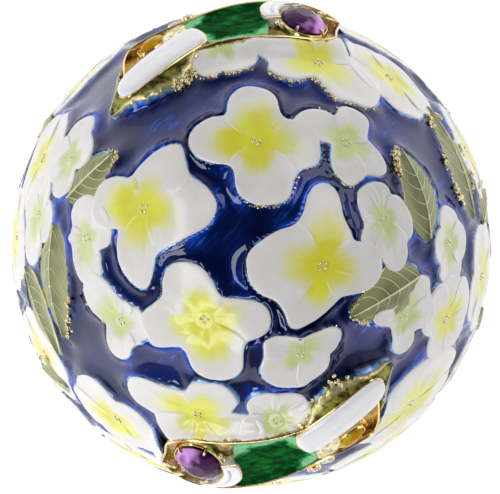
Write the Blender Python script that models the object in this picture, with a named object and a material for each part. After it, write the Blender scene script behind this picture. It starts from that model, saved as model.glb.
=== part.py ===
"""Egg trinket box: a hollow cast egg with raised flowers and leaves, in a lid and a base.

Two jewelled gilt mounts sit on the lid's shoulders and a low turned foot carries the base.
Metres, +Z up, the origin in the middle of the foot's underside. The egg stands pointed end up.
"""
import math

import bmesh
import bpy
from mathutils import Matrix, Vector
from mathutils.geometry import delaunay_2d_cdt

for old in list(bpy.data.objects):
    bpy.data.objects.remove(old, do_unlink=True)

MM = 0.001

# Egg shell: two half ellipsoids that meet at the widest level
half_width = 30 * MM
rise_above = 45 * MM
drop_below = 36 * MM
wall = 1.6 * MM

# Seam below the widest level: a plain band on each side, and a lip on the base that the lid fits over
seam_drop = 4 * MM
band_height = 2.2 * MM
band_proud = 0.7 * MM
lip_rise = 3 * MM
lip_depth = 3 * MM
lip_wall = 1.0 * MM
lip_clearance = 0.3 * MM
bore_blend = 1.2 * MM
cavity_rings = 5
fit_gap = 0.3 * MM
round_sides = 40

# Foot: a turned disc with a waist and a cup that follows the egg
foot_thickness = 4.5 * MM
foot_radius = 17 * MM
waist_radius = 9.5 * MM
waist_share = 0.6
cup_radius = 12 * MM
cup_edge = 0.8 * MM
cup_draft = 0.6 * MM
cup_shares = (0.72, 0.4)
foot_rim = 1.6 * MM
foot_round = (1.4 * MM, 0.7 * MM)
foot_slope = 1.1 * MM

# Relief: petals are cushions with a steep edge, leaves are lower with a raised midrib
petal_edge = 1.0 * MM
petal_crown = 1.5 * MM
leaf_edge = 0.6 * MM
leaf_crown = 1.1 * MM
draft = 0.3 * MM
petal_spread = 1.7
petal_fullness = 0.6
flower_core = 1.5 * MM
petal_crest = 0.55
leaf_shares = (0.05, 0.3, 0.55, 0.8, 0.97)
midrib_shares = (0.3, 0.6, 0.85)
leaf_point = 0.1 * MM

# Triangles of the relief: spacing of the bare ground, and what counts as one point in the flat map
ground_spacing = 5.5 * MM
ground_margin = 0.3 * ground_spacing
seam_margin = 0.3 * MM
merge_distance = 0.0008
tip_shares = (0.0, 0.17, 0.38, 0.62, 0.83)
side_shares = (0.0, 0.28, 0.72)
lowest_share = -0.3
sheet_limit = 0.4

egg_level = foot_thickness + fit_gap + drop_below

# Regular flowers of the sides and of the base: petal length and half width
full_petal = (7.3 * MM, 3.5 * MM)
small_petal = (5.2 * MM, 2.7 * MM)

# Flowers round the tip: azimuth and polar angle of the middle, then each petal's
# bearing (from straight down the egg, anticlockwise), length and half width in millimetres
tip_flowers = [
    (87, 14, [(5, 8.5, 3.4), (-88, 7.6, 3.2), (-172, 8.1, 3.7), (90, 7.9, 3.1)]),
    (166, 17, [(-98, 7.9, 3.2), (-172, 9.2, 4.2), (103, 9.5, 2.9), (3, 8.5, 3.6)]),
    (-24, 11.5, [(114, 9.9, 3.0), (-155, 9.5, 4.0), (-86, 8.0, 3.2), (19, 8.1, 3.5)]),
    (-119, 14.5, [(-137, 7.2, 3.4), (120, 7.8, 2.8), (34, 8.7, 3.6), (-44, 9.6, 3.4)]),
    (-107, 34, [(-94, 8.8, 3.2), (152, 7.6, 3.2), (89, 8.2, 3.3), (30, 7.0, 3.2), (-38, 8.0, 3.6)]),
    (69, 36, [(138, 7.8, 4.0), (-108, 7.8, 4.0), (-32, 8.0, 3.6), (62, 7.0, 3.4)]),
    (-127, 52, [(-114, 7.4, 3.8), (150, 6.2, 3.4), (80, 7.6, 3.4), (10, 7.6, 3.8), (-50, 7.6, 3.8)]),
    (-22, 45, [(-80, 5.2, 3.0), (-10, 6.4, 3.2), (50, 6.6, 3.2), (115, 6.0, 2.9), (172, 6.4, 2.9)]),
    (45, 21.5, [(26, 6.5, 3.0), (-83, 6.2, 2.4), (-133, 5.9, 2.7), (107, 5.8, 2.6)]),
    (8, 21.5, [(96, 4.4, 2.4), (38, 4.4, 2.4), (-38, 5.4, 2.6), (-85, 7.0, 2.8), (160, 4.2, 2.4)]),
    (-67, 20, [(102, 4.9, 2.6), (-138, 4.8, 2.4), (-66, 6.3, 2.9), (23, 5.9, 2.7)]),
    (-82, 33, [(-160, 4.7, 2.3), (148, 4.6, 2.4), (90, 4.9, 2.5), (20, 4.8, 2.5), (-62, 4.8, 2.5)]),
    (-27, 30.5, [(-49, 6.3, 2.9), (-140, 4.4, 2.3), (107, 4.8, 2.6), (20, 5.6, 2.6)]),
    (180, 28.5, [(-75, 6.2, 3.1), (-173, 4.6, 2.0), (90, 5.6, 2.6), (9, 4.6, 2.4)]),
    (-147, 26, [(-93, 5.4, 3.6), (46, 6.2, 2.9), (128, 4.2, 2.4), (-30, 3.4, 2.2)]),
    (156, 39, [(-71, 6.0, 2.9), (-142, 4.4, 2.4), (95, 4.8, 2.6), (10, 5.6, 2.8)]),
    (173, 47, [(-92, 5.0, 3.0), (-20, 5.4, 2.8), (69, 6.4, 3.0), (165, 4.8, 2.4)]),
    (-1, 39, [(86, 4.6, 2.6), (-165, 3.6, 2.2), (-74, 5.4, 2.8), (5, 4.8, 2.6)]),
    (99, 35.5, [(136, 4.8, 2.8), (-148, 4.8, 2.7), (-85, 4.8, 2.4), (80, 5.0, 2.4)]),
]

# Regular five-petalled flowers: azimuth, polar angle, turn, petal size
side_flowers = [
    (50, 48, 10, full_petal),
    (158, 55, 30, full_petal),
    (-45, 57, 20, full_petal),
    (-8, 64, 0, full_petal),
    (-152, 65, 25, full_petal),
    (24, 68, 40, full_petal),
    (178, 67, 15, full_petal),
    (135, 70, 0, full_petal),
    (62, 73, 30, full_petal),
    (-28, 77, 30, small_petal),
    (6, 81, 20, small_petal),
    (43, 80, 15, small_petal),
    (-56, 76, 10, full_petal),
    (-84, 77, 35, full_petal),
    (-117, 74, 40, full_petal),
    (-138, 80, 25, small_petal),
    (-166, 81, 0, small_petal),
    (157, 80, 30, small_petal),
    (116, 80, 10, small_petal),
    (93, 77, 25, full_petal),
]

# Leaves: azimuth and polar angle of the stem end and of the tip, half width in millimetres
leaves = [
    ((-1, 32), (32, 30.5), 3.3),
    ((6, 52), (38, 51), 4.0),
    ((168, 35), (148, 27), 2.7),
    ((175, 38), (-152, 44), 3.8),
    ((-174, 54), (-149, 51), 3.2),
    ((-12, 30.5), (-39, 20), 3.2),
    ((-74, 39), (-41, 34), 4.4),
    ((106, 39), (139, 34), 4.4),
    ((5, 60), (14, 78), 3.0),
    ((-20, 84), (-15, 73), 2.4),
    ((-142, 60), (-150, 78), 3.0),
    ((147, 66), (150, 86), 3.0),
]

# Rows of flowers round the base: polar angle, first azimuth, petal size
base_rows = [
    (117, 8, full_petal),
    (137, 28, small_petal),
]
base_row_count = 9
base_leaf_polar = 142
base_leaf_first = 8
base_leaf_half = 2.8 * MM
base_leaf_length = 9 * MM
base_leaf_lean = (0.25, 0.425)
base_turn = 35
side_petals = 5

# Side mounts on the shoulders: middle, and outline in millimetres as (down, towards the bar)
mount_azimuths = {"front": -84, "back": 96}
mount_polar = 50
mount_outline = [
    (-6.2, -13.2), (-7.8, -9.0), (-7.8, -3.5), (-8.6, 1.6), (-11.0, 6.0), (-13.8, 9.8), (-14.0, 13.0),
    (-11.0, 14.6), (-5.0, 13.8), (0.8, 11.6), (5.2, 8.0), (7.2, 2.5), (8.0, -4.0), (7.6, -10.5),
    (4.6, -14.6), (-1.5, -15.6),
]
mount_floor = 1.5 * MM
mount_rim_top = 2.4 * MM
mount_rim = 0.55 * MM
mount_draft = 0.15 * MM
mount_spots = [(down, along) for down in range(-3, 3) for along in range(-4, 5)]
mount_spot_margin = 2.2 * MM
outline_steps = 2

# Stones: half sizes down the egg and across it, and the height of their crown
amethyst_at = (-1.3, -8.9)
amethyst_half = (4.7 * MM, 2.8 * MM)
amethyst_crown = 1.5 * MM
amethyst_bezel = 0.55 * MM
citrine_at = (-3.8, 9.0)
citrine_half = (1.1 * MM, 2.0 * MM)
citrine_turn = 40
citrine_crown = 0.8 * MM
crystal_spots = {"upper": (0.4, 6.3), "lower": (2.5, 4.7)}
crystal_half = (0.6 * MM, 0.6 * MM)
crystal_crown = 0.5 * MM
small_bezel = 0.35 * MM
stone_seat = 0.6 * MM
stone_body = 0.9 * MM
bezel_rise = 0.45 * MM
stone_levels = [(0.8, 0.0, 0.0), (1.0, 1.0, 0.0), (0.82, 1.0, 0.6), (0.55, 1.0, 1.0)]
big_sides = 16
middle_sides = 12
citrine_sides = 8
small_sides = 6

# Raised enamel bar and crescent, green enamel cell: places in millimetres, heights in metres
bar_ends = ((-5.5, 4.8), (-11.7, 12.0))
bar_half = 1.4 * MM
bar_top = 3.2 * MM
bar_crest = 0.75
bar_roundness = 0.7
bar_sides = 5
crescent_gap = 0.3 * MM
crescent_width = 1.5 * MM
crescent_arc = (-8, 88)
crescent_steps = 7
crescent_top = 2.3 * MM
cell_corners = [(-6.4, -4.4), (-6.8, 1.2), (-4.4, 3.0), (0.8, 3.2), (5.4, 1.2), (6.0, -2.9), (0.6, -4.4)]
cell_depth = 0.35 * MM


def ellipsoid_rise(z):
    """Half height of the ellipsoid that a level above or below the widest one belongs to."""
    return rise_above if z >= 0 else drop_below


def shell_width(z):
    """Radius of the egg's ground surface at a level."""
    return half_width * math.sqrt(max(0.0, 1 - (z / ellipsoid_rise(z)) ** 2))


def on_shell(direction, height):
    """Point at a height above the ground surface, straight out from the egg's middle at its foot."""
    rise = ellipsoid_rise(direction.z)
    scaled = Vector((direction.x / half_width, direction.y / half_width, direction.z / rise))
    ground = direction / scaled.length
    normal = Vector((ground.x / half_width**2, ground.y / half_width**2, ground.z / rise**2)).normalized()
    return ground + normal * height


def limited(value):
    """A value kept between nought and one."""
    return min(1.0, max(0.0, value))


class Patch:
    """A flat sheet laid against the egg at one azimuth and polar angle, to draw an ornament on."""

    def __init__(self, azimuth, polar):
        turn = math.radians(azimuth)
        lean = math.radians(polar)
        outward = Vector((math.cos(turn), math.sin(turn), 0))
        self.out = outward * math.sin(lean) + Vector((0, 0, math.cos(lean)))
        self.down = outward * math.cos(lean) - Vector((0, 0, math.sin(lean)))
        self.across = self.out.cross(self.down)
        self.reach = on_shell(self.out, 0).length

    def direction(self, x, y):
        """Direction from the egg's middle through a point of the sheet."""
        return (self.out * self.reach + self.down * x + self.across * y).normalized()

    def drawn(self, direction):
        """Where a direction meets the sheet, or None on the far side."""
        facing = direction.dot(self.out)
        if facing < sheet_limit:
            return None
        scale = self.reach / facing
        return Vector((direction.dot(self.down), direction.dot(self.across))) * scale


class Flower(Patch):
    """A flower of broad petals round one middle."""

    def __init__(self, azimuth, polar, petals, full=False):
        super().__init__(azimuth, polar)
        self.full = full
        self.petals = sorted((math.radians(bearing), length, half) for bearing, length, half in petals)
        self.size = max(length for _, length, _ in self.petals)

    def edge(self, bearing):
        """Distance from the middle to the outline at a bearing."""
        reach = flower_core
        for middle, length, half in self.petals:
            spread = petal_spread * math.atan2(half, petal_fullness * length)
            turn = abs((bearing - middle + math.pi) % (2 * math.pi) - math.pi)
            if turn < spread:
                reach = max(reach, length * math.sqrt(math.cos(0.5 * math.pi * turn / spread)))
        return reach

    def notches(self):
        """Bearing of the deepest point between each petal and the next."""
        found = []
        for index, (start, _, _) in enumerate(self.petals):
            end = self.petals[(index + 1) % len(self.petals)][0]
            if end <= start:
                end += 2 * math.pi
            samples = [start + (end - start) * step / 24 for step in range(1, 24)]
            found.append(min(samples, key=self.edge))
        return found

    def outline(self, inset):
        """Points round the flower, at the notches and round each petal's tip."""
        shares = tip_shares if self.full else side_shares
        notches = self.notches()
        points = []
        for index, start in enumerate(notches):
            end = notches[(index + 1) % len(notches)]
            if end <= start:
                end += 2 * math.pi
            for share in shares:
                bearing = start + (end - start) * share
                reach = self.edge(bearing) - inset
                points.append((reach * math.cos(bearing), reach * math.sin(bearing)))
        return points

    def loops(self):
        return [self.outline(0.0), self.outline(draft)]

    def spots(self):
        """Points inside the outline that carry the flower's shape: its middle and its petals' crowns."""
        points = [(0.0, 0.0)]
        for bearing, length, _ in self.petals:
            crest = petal_crest * length
            points.append((crest * math.cos(bearing), crest * math.sin(bearing)))
        return points

    def outside(self, direction):
        """Distance by which a direction misses the flower, negative inside it."""
        place = self.drawn(direction)
        if place is None:
            return self.size
        return place.length - self.edge(math.atan2(place.y, place.x))

    def height(self, direction):
        place = self.drawn(direction)
        if place is None or place.length > self.size:
            return 0.0
        edge = self.edge(math.atan2(place.y, place.x))
        swell = (petal_crown - petal_edge) * math.sin(math.pi * limited(place.length / edge))
        return limited((edge - place.length) / draft) * (petal_edge + swell)


class Leaf(Patch):
    """A leaf with a raised midrib, from its stem end to its tip."""

    def __init__(self, stem, tip, half):
        super().__init__(*stem)
        self.half = half
        end = self.drawn(Patch(*tip).out)
        self.length = end.length
        self.along = end.normalized()
        self.aside = Vector((-self.along.y, self.along.x))

    def width(self, share):
        return self.half * math.sin(math.pi * limited(share) ** 0.8) ** 0.8

    def outline(self, inset):
        sides = [(share, 1) for share in leaf_shares] + [(share, -1) for share in reversed(leaf_shares)]
        points = []
        for share, side in sides:
            middle = 0.5 + (share - 0.5) * (1 - 2 * inset / self.length)
            width = max(leaf_point, self.width(share) - inset)
            points.append(tuple(self.along * middle * self.length + self.aside * side * width))
        return points

    def loops(self):
        return [self.outline(0.0), self.outline(draft)]

    def spots(self):
        return [tuple(self.along * share * self.length) for share in midrib_shares]

    def outside(self, direction):
        place = self.drawn(direction)
        if place is None:
            return self.length
        share = place.dot(self.along) / self.length
        past_end = max(-share, share - 1) * self.length
        return max(past_end, abs(place.dot(self.aside)) - self.width(share))

    def height(self, direction):
        inside = -self.outside(direction)
        if inside <= 0:
            return 0.0
        place = self.drawn(direction)
        width = self.width(place.dot(self.along) / self.length)
        crest = 1 - limited(abs(place.dot(self.aside)) / max(width, draft))
        return limited(inside / draft) * (leaf_edge + (leaf_crown - leaf_edge) * crest)


def smooth_loop(corners, steps):
    """Closed smooth curve through the corners, with a few points between each pair."""
    count = len(corners)
    points = []
    for index in range(count):
        before, start, end, after = (Vector(corners[(index + shift) % count]) for shift in (-1, 0, 1, 2))
        for step in range(steps):
            t = step / steps
            points.append(0.5 * (2 * start + (end - before) * t
                                 + (2 * before - 5 * start + 4 * end - after) * t**2
                                 + (3 * start - before - 3 * end + after) * t**3))
    return points


def grown(loop, distance):
    """The loop moved outwards by a distance, inwards where it is negative."""
    turned = sum(loop[i - 1].x * loop[i].y - loop[i].x * loop[i - 1].y for i in range(len(loop)))
    side = 1 if turned > 0 else -1
    moved = []
    for index, point in enumerate(loop):
        run = loop[(index + 1) % len(loop)] - loop[index - 1]
        normal = Vector((run.y, -run.x)).normalized() * side
        moved.append(point + normal * distance)
    return moved


def beyond(loop, place):
    """Distance from a place to a loop, negative inside it."""
    inside = False
    nearest = 1.0
    for index, end in enumerate(loop):
        start = loop[index - 1]
        run = end - start
        share = limited((place - start).dot(run) / run.length_squared)
        nearest = min(nearest, (place - start - run * share).length)
        if (start.y > place.y) != (end.y > place.y):
            if place.x < start.x + (place.y - start.y) / run.y * run.x:
                inside = not inside
    return -nearest if inside else nearest


class Seat(Patch):
    """The outline of a side mount, where the lid's relief gives way to it."""

    def __init__(self, azimuth):
        super().__init__(azimuth, mount_polar)
        self.loop = smooth_loop([Vector(corner) * MM for corner in mount_outline], outline_steps)

    def beyond(self, direction):
        place = self.drawn(direction)
        return 1.0 if place is None else beyond(self.loop, place)


def regular(turn, count, size):
    """Equal petals round a flower."""
    length, half = size
    return [(turn + 360 * index / count, length, half) for index in range(count)]


def lid_ornaments():
    ornaments = []
    for azimuth, polar, petals in tip_flowers:
        sized = [(bearing, length * MM, half * MM) for bearing, length, half in petals]
        ornaments.append(Flower(azimuth, polar, sized, full=True))
    for azimuth, polar, turn, size in side_flowers:
        ornaments.append(Flower(azimuth, polar, regular(turn, side_petals, size)))
    for stem, tip, half in leaves:
        ornaments.append(Leaf(stem, tip, half * MM))
    return ornaments


def base_ornaments():
    ornaments = []
    for index in range(base_row_count):
        step = 360 * index / base_row_count
        for polar, first, size in base_rows:
            ornaments.append(Flower(first + step, polar, regular(base_turn * index, side_petals, size)))
        lean = 1 if index % 2 else -1
        patch = Patch(base_leaf_first + step, base_leaf_polar)
        ends = []
        for side in (-1, 1):
            down, across = (side * share * base_leaf_length for share in base_leaf_lean)
            way = patch.direction(down, lean * across)
            ends.append((math.degrees(math.atan2(way.y, way.x)), math.degrees(math.acos(way.z))))
        ornaments.append(Leaf(ends[0], ends[1], base_leaf_half))
    return ornaments


def chart(direction, up):
    """Stereographic map of directions about the egg's upper or lower tip."""
    return Vector((direction.x, direction.y)) / (1 + direction.z * up)


def from_chart(place, up):
    scale = 2 / (1 + place.length_squared)
    return Vector((place.x * scale, place.y * scale, up * (scale - 1)))


def ring(radius, level):
    """Corners of a level circle about the egg's axis."""
    turns = [2 * math.pi * index / round_sides for index in range(round_sides)]
    return [Vector((radius * math.cos(turn), radius * math.sin(turn), level)) for turn in turns]


class Sheet:
    """Points and lines of one surface, to be triangulated in its chart."""

    def __init__(self):
        self.places = []
        self.lines = []
        self.fixed = {}

    def loop(self, places, closed=True, fixed=None):
        first = len(self.places)
        for index, place in enumerate(places):
            if fixed:
                self.fixed[len(self.places)] = fixed[index]
            self.places.append(place)
        for index in range(len(places) - (0 if closed else 1)):
            self.lines.append((first + index, first + (index + 1) % len(places)))

    def triangles(self):
        mapped = delaunay_2d_cdt(self.places, self.lines, [], 0, merge_distance, True)
        places, _, faces, origins, _, _ = mapped
        fixed = [next((self.fixed[o] for o in origin if o in self.fixed), None) for origin in origins]
        return places, faces, fixed


def relief_sheet(ornaments, seats, up, seam, band_edge):
    """Triangulated outer face of the lid or base: ornaments on the ground, and the band at the seam."""
    sheet = Sheet()
    stop = band_edge + up * draft
    band = [
        ring(shell_width(seam) + band_proud, seam),
        ring(shell_width(band_edge) + band_proud, band_edge),
        ring(shell_width(stop), stop),
    ]
    for corners in band:
        sheet.loop([chart(corner.normalized(), up) for corner in corners], fixed=corners)
    full = stop + up * draft
    relief_start = [Vector((c.x, c.y, full)) for c in ring(shell_width(full), full)]
    sheet.loop([chart(corner.normalized(), up) for corner in relief_start])

    def height(direction):
        level = on_shell(direction, 0).z
        fade = limited((level - stop) * up / draft)
        for seat in seats:
            fade = min(fade, limited((seat.beyond(direction) - fit_gap) / draft))
        if fade == 0:
            return 0.0
        return fade * max(ornament.height(direction) for ornament in ornaments)

    for ornament in ornaments:
        for outline in ornament.loops():
            ways = [ornament.direction(x, y) for x, y in outline]
            clear = [(on_shell(way, 0).z - full) * up > seam_margin for way in ways]
            if all(clear):
                sheet.loop([chart(way, up) for way in ways])
                continue
            for index, way in enumerate(ways):
                follower = (index + 1) % len(ways)
                if clear[index] and clear[follower]:
                    sheet.loop([chart(way, up), chart(ways[follower], up)], closed=False)
        for x, y in ornament.spots():
            way = ornament.direction(x, y)
            if (on_shell(way, 0).z - full) * up > seam_margin:
                sheet.places.append(chart(way, up))
    for seat in seats:
        for distance in (fit_gap, fit_gap + draft):
            ways = [seat.direction(place.x, place.y) for place in grown(seat.loop, distance)]
            sheet.loop([chart(way, up) for way in ways])
    for way in even_directions(up):
        if (on_shell(way, 0).z - full) * up < ground_margin:
            continue
        if any(abs(seat.beyond(way)) < ground_margin for seat in seats):
            continue
        under_seat = any(seat.beyond(way) < 0 for seat in seats)
        if under_seat or all(ornament.outside(way) > ground_margin for ornament in ornaments):
            sheet.places.append(chart(way, up))

    places, faces, fixed = sheet.triangles()
    points = []
    for place, spot in zip(places, fixed):
        if spot is not None:
            points.append(spot)
            continue
        direction = from_chart(place, up)
        points.append(on_shell(direction, height(direction)))
    return points, faces


def even_directions(up):
    """Directions spread evenly over the half that a shell piece covers."""
    count = int(4 * math.pi * half_width * rise_above / ground_spacing**2)
    golden = math.pi * (3 - math.sqrt(5))
    for index in range(count):
        level = 1 - 2 * (index + 0.5) / count
        if level * up < lowest_share:
            continue
        flat = math.sqrt(1 - level * level)
        yield Vector((flat * math.cos(golden * index), flat * math.sin(golden * index), level))


def add_rings(bm, rings, start):
    """Joins a first ring of vertices to each next one, and returns the last."""
    last = start
    for corners in rings:
        new = [bm.verts.new(corner) for corner in corners]
        for index in range(round_sides):
            follower = (index + 1) % round_sides
            bm.faces.new((last[index], last[follower], new[follower], new[index]))
        last = new
    return last


def shell_solid(points, faces, profile, tip):
    """Closed shell: the outer face, the profile of rings that lines it, and the cavity's tip."""
    bm = bmesh.new()
    verts = [bm.verts.new(point) for point in points]
    for face in faces:
        bm.faces.new([verts[index] for index in face])
    start = verts[:round_sides]
    last = add_rings(bm, [ring(radius, level) for radius, level in profile], start)
    middle = bm.verts.new((0, 0, tip))
    for index in range(round_sides):
        bm.faces.new((last[index], last[(index + 1) % round_sides], middle))
    return bm


def cavity_profile(rise, start, up):
    """Radius and level of the cavity's wall, from a level to its tip."""
    width = half_width - wall
    height = rise - wall
    begin = math.asin(start * up / height)
    profile = []
    for step in range(cavity_rings):
        lean = begin + (0.5 * math.pi - begin) * step / cavity_rings
        profile.append((width * math.cos(lean), up * height * math.sin(lean)))
    return profile, up * height


def finished(bm, name, level, colour, roughness, metallic):
    """Makes a named object with its material from a mesh drawn about the egg's middle."""
    bmesh.ops.triangulate(bm, faces=bm.faces[:])
    bmesh.ops.recalc_face_normals(bm, faces=bm.faces[:])
    mesh = bpy.data.meshes.new(name)
    bm.to_mesh(mesh)
    bm.free()
    obj = bpy.data.objects.new(name, mesh)
    obj.location.z = level
    bpy.context.scene.collection.objects.link(obj)
    material = bpy.data.materials.new(name + "_finish")
    material.use_nodes = True
    shader = material.node_tree.nodes["Principled BSDF"]
    shader.inputs["Base Color"].default_value = (*colour, 1.0)
    shader.inputs["Roughness"].default_value = roughness
    shader.inputs["Metallic"].default_value = metallic
    mesh.materials.append(material)


def make_lid():
    """Upper shell: flowers and leaves outside, a bore over the base's lip inside."""
    seam = -seam_drop + fit_gap / 2
    seats = [Seat(azimuth) for azimuth in mount_azimuths.values()]
    points, faces = relief_sheet(lid_ornaments(), seats, 1, seam, seam + band_height)
    bore = lid_bore()
    bore_top = -seam_drop + lip_rise + fit_gap
    dome, tip = cavity_profile(rise_above, bore_top + bore_blend, 1)
    bm = shell_solid(points, faces, [(bore, seam), (bore, bore_top)] + dome, tip)
    finished(bm, "lid", egg_level, (0.03, 0.06, 0.30), 0.2, 0.3)


def lid_bore():
    """Radius of the lid's mouth."""
    return (half_width - wall) * math.sqrt(1 - (seam_drop / (drop_below - wall)) ** 2)


def make_base():
    """Lower shell: the same relief outside, a cup inside, and the lip that the lid sits over."""
    seam = -seam_drop - fit_gap / 2
    points, faces = relief_sheet(base_ornaments(), [], -1, seam, seam - band_height)
    lip_outer = lid_bore() - lip_clearance
    lip_inner = lip_outer - lip_wall
    lip_top = -seam_drop + lip_rise
    lip_foot = seam - lip_depth
    cup, tip = cavity_profile(drop_below, -lip_foot + lip_wall, -1)
    profile = [(lip_outer, seam), (lip_outer, lip_top), (lip_inner, lip_top), (lip_inner, lip_foot)] + cup
    bm = shell_solid(points, faces, profile, tip)
    finished(bm, "base", egg_level, (0.03, 0.06, 0.30), 0.2, 0.3)


def make_foot():
    """Turned gilt foot: flat below, waisted, and dished on top to the egg with a small gap."""
    def cup_level(radius):
        return egg_level - fit_gap - drop_below * math.sqrt(1 - (radius / half_width) ** 2)

    cup_top = cup_level(cup_radius)
    profile = [
        (foot_radius, 0.0),
        (foot_radius, foot_rim),
        (foot_radius - foot_round[0], foot_rim + foot_round[1]),
        (0.5 * (foot_radius + waist_radius), foot_rim + foot_slope),
        (waist_radius, waist_share * cup_top),
        (cup_radius - cup_draft, cup_top - cup_edge),
        (cup_radius, cup_top),
    ]
    profile += [(cup_radius * share, cup_level(cup_radius * share)) for share in cup_shares]
    bm = bmesh.new()
    start = [bm.verts.new(corner) for corner in ring(*profile[0])]
    last = add_rings(bm, [ring(radius, level) for radius, level in profile[1:]], start)
    for corners, level in ((start, 0.0), (last, cup_level(0.0))):
        middle = bm.verts.new((0, 0, level))
        for index in range(round_sides):
            bm.faces.new((corners[index], corners[(index + 1) % round_sides], middle))
    finished(bm, "foot", 0.0, (0.83, 0.62, 0.28), 0.25, 1.0)


def oval(at, half, grow, turn, sides):
    """Closed oval loop about a place in millimetres."""
    points = []
    spin = Matrix.Rotation(math.radians(turn), 2)
    for index in range(sides):
        angle = 2 * math.pi * index / sides
        point = Vector(((half[0] + grow) * math.cos(angle), (half[1] + grow) * math.sin(angle)))
        points.append(Vector(at) * MM + spin @ point)
    return points


def capsule(half):
    """Closed loop round the raised bar, with round ends."""
    start, end = (Vector(end) * MM for end in bar_ends)
    along = (end - start).normalized()
    across = Vector((-along.y, along.x))
    points = []
    for centre, way in ((end, 1), (start, -1)):
        for index in range(bar_sides):
            angle = math.pi * (index / (bar_sides - 1) - 0.5)
            points.append(centre + way * half * (along * math.cos(angle) + across * math.sin(angle)))
    return points


def crescent():
    """Closed loop of the enamel crescent that hugs the amethyst's lower side."""
    inner = fit_gap + amethyst_bezel + crescent_gap
    first, last = (math.radians(angle) for angle in crescent_arc)
    outside = []
    inside = []
    for step in range(crescent_steps + 1):
        share = step / crescent_steps
        angle = first + (last - first) * share
        width = crescent_width * math.sin(math.pi * (0.1 + 0.8 * share))
        for reach, side in ((inner + width, outside), (inner, inside)):
            along = (amethyst_half[0] + reach) * math.cos(angle)
            across = (amethyst_half[1] + reach) * math.sin(angle)
            side.append(Vector(amethyst_at) * MM + Vector((along, across)))
    return outside + inside[::-1]


def stone_seats():
    """Place, half sizes, bezel width, turn and sides of every stone seat in a mount."""
    seats = [
        (amethyst_at, amethyst_half, amethyst_bezel, 0, big_sides),
        (citrine_at, citrine_half, small_bezel, citrine_turn, middle_sides),
    ]
    seats += [(spot, crystal_half, small_bezel, 0, small_sides) for spot in crystal_spots.values()]
    return seats


def mount_height(place, loops):
    """Height of the mount's face over the shell at a place of its outline sheet."""
    def ramp(distance):
        return limited(0.5 - distance / mount_draft)

    on_rim = ramp(-beyond(loops["outline"], place) - mount_rim)
    height = mount_floor + (mount_rim_top - mount_floor) * on_rim
    height -= cell_depth * ramp(beyond(loops["cell"], place))
    height = max(height, crescent_top * ramp(beyond(loops["crescent"], place)))
    start, end = (Vector(end) * MM for end in bar_ends)
    share = limited((place - start).dot(end - start) / (end - start).length_squared)
    from_bar = (place - start - (end - start) * share).length
    if from_bar < bar_half:
        arch = math.sqrt(1 - (from_bar / bar_half) ** 2)
        height = max(height, mount_floor + (bar_top - mount_floor) * arch**bar_roundness)
    for pocket, collar in loops["stones"]:
        height = max(height, ramp(beyond(collar, place)) * (mount_floor + bezel_rise))
        inside = ramp(beyond(pocket, place))
        height += (stone_seat - height) * inside
    return height


def mount_side(bm, seat, loops, spots, height):
    """One face of a mount, with its loops and spots at their heights; returns the outline's vertices."""
    sheet = Sheet()
    for loop in loops:
        sheet.loop([place / half_width for place in loop])
    sheet.places += [spot / half_width for spot in spots]
    places, faces, _ = sheet.triangles()
    places = [place * half_width for place in places]
    verts = [bm.verts.new(on_shell(seat.direction(place.x, place.y), height(place))) for place in places]
    for face in faces:
        middle = sum((places[index] for index in face), Vector((0, 0))) / len(face)
        if beyond(seat.loop, middle) < 0:
            bm.faces.new([verts[index] for index in face])
    return verts[:len(seat.loop)]


def make_mount(name, seat):
    """Cast gilt tray with walls, an enamel cell, a bar, a crescent and seats for its stones."""
    loops = {
        "outline": seat.loop,
        "cell": [Vector(corner) * MM for corner in cell_corners],
        "crescent": crescent(),
        "stones": [(oval(at, half, fit_gap, turn, sides), oval(at, half, fit_gap + bezel, turn, sides))
                   for at, half, bezel, turn, sides in stone_seats()],
    }
    steps = [grown(seat.loop, -mount_rim), loops["cell"], loops["crescent"]]
    steps += [loop for pair in loops["stones"] for loop in pair]
    drawn = [seat.loop]
    for loop in steps:
        drawn += [grown(loop, mount_draft / 2), grown(loop, -mount_draft / 2)]
    drawn += [capsule(bar_half), capsule(bar_crest * bar_half)]
    spots = [Vector(spot) * ground_spacing for spot in mount_spots]
    spots = [spot for spot in spots if beyond(seat.loop, spot) < -mount_spot_margin]
    spots += [Vector(end) * MM for end in bar_ends]

    bm = bmesh.new()
    face = mount_side(bm, seat, drawn, spots, lambda place: mount_height(place, loops))
    back = mount_side(bm, seat, [seat.loop], spots, lambda place: fit_gap)
    for index in range(len(face)):
        follower = (index + 1) % len(face)
        bm.faces.new((face[index], face[follower], back[follower], back[index]))
    finished(bm, name, egg_level, (0.83, 0.62, 0.28), 0.25, 1.0)


def make_stone(name, seat, at, half, crown, turn, sides, colour):
    """Faceted stone in its pocket: a flat back, a girdle, a crown and a table."""
    ground = seat.direction(at[0] * MM, at[1] * MM)
    foot = on_shell(ground, stone_seat + fit_gap)
    out = (on_shell(ground, MM) - on_shell(ground, 0)).normalized()
    down = (seat.down - out * seat.down.dot(out)).normalized()
    across = out.cross(down)
    spin = Matrix.Rotation(math.radians(turn), 2)
    bm = bmesh.new()
    rows = []
    for scale, body_share, crown_share in stone_levels:
        height = body_share * stone_body + crown_share * crown
        row = []
        for index in range(sides):
            angle = 2 * math.pi * index / sides
            place = spin @ Vector((scale * half[0] * math.cos(angle), scale * half[1] * math.sin(angle)))
            row.append(bm.verts.new(foot + down * place.x + across * place.y + out * height))
        rows.append(row)
    for lower, upper in zip(rows, rows[1:]):
        for index in range(sides):
            follower = (index + 1) % sides
            bm.faces.new((lower[index], lower[follower], upper[follower], upper[index]))
    bm.faces.new(rows[0])
    bm.faces.new(rows[-1])
    finished(bm, name, egg_level, colour, 0.05, 0.0)


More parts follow.
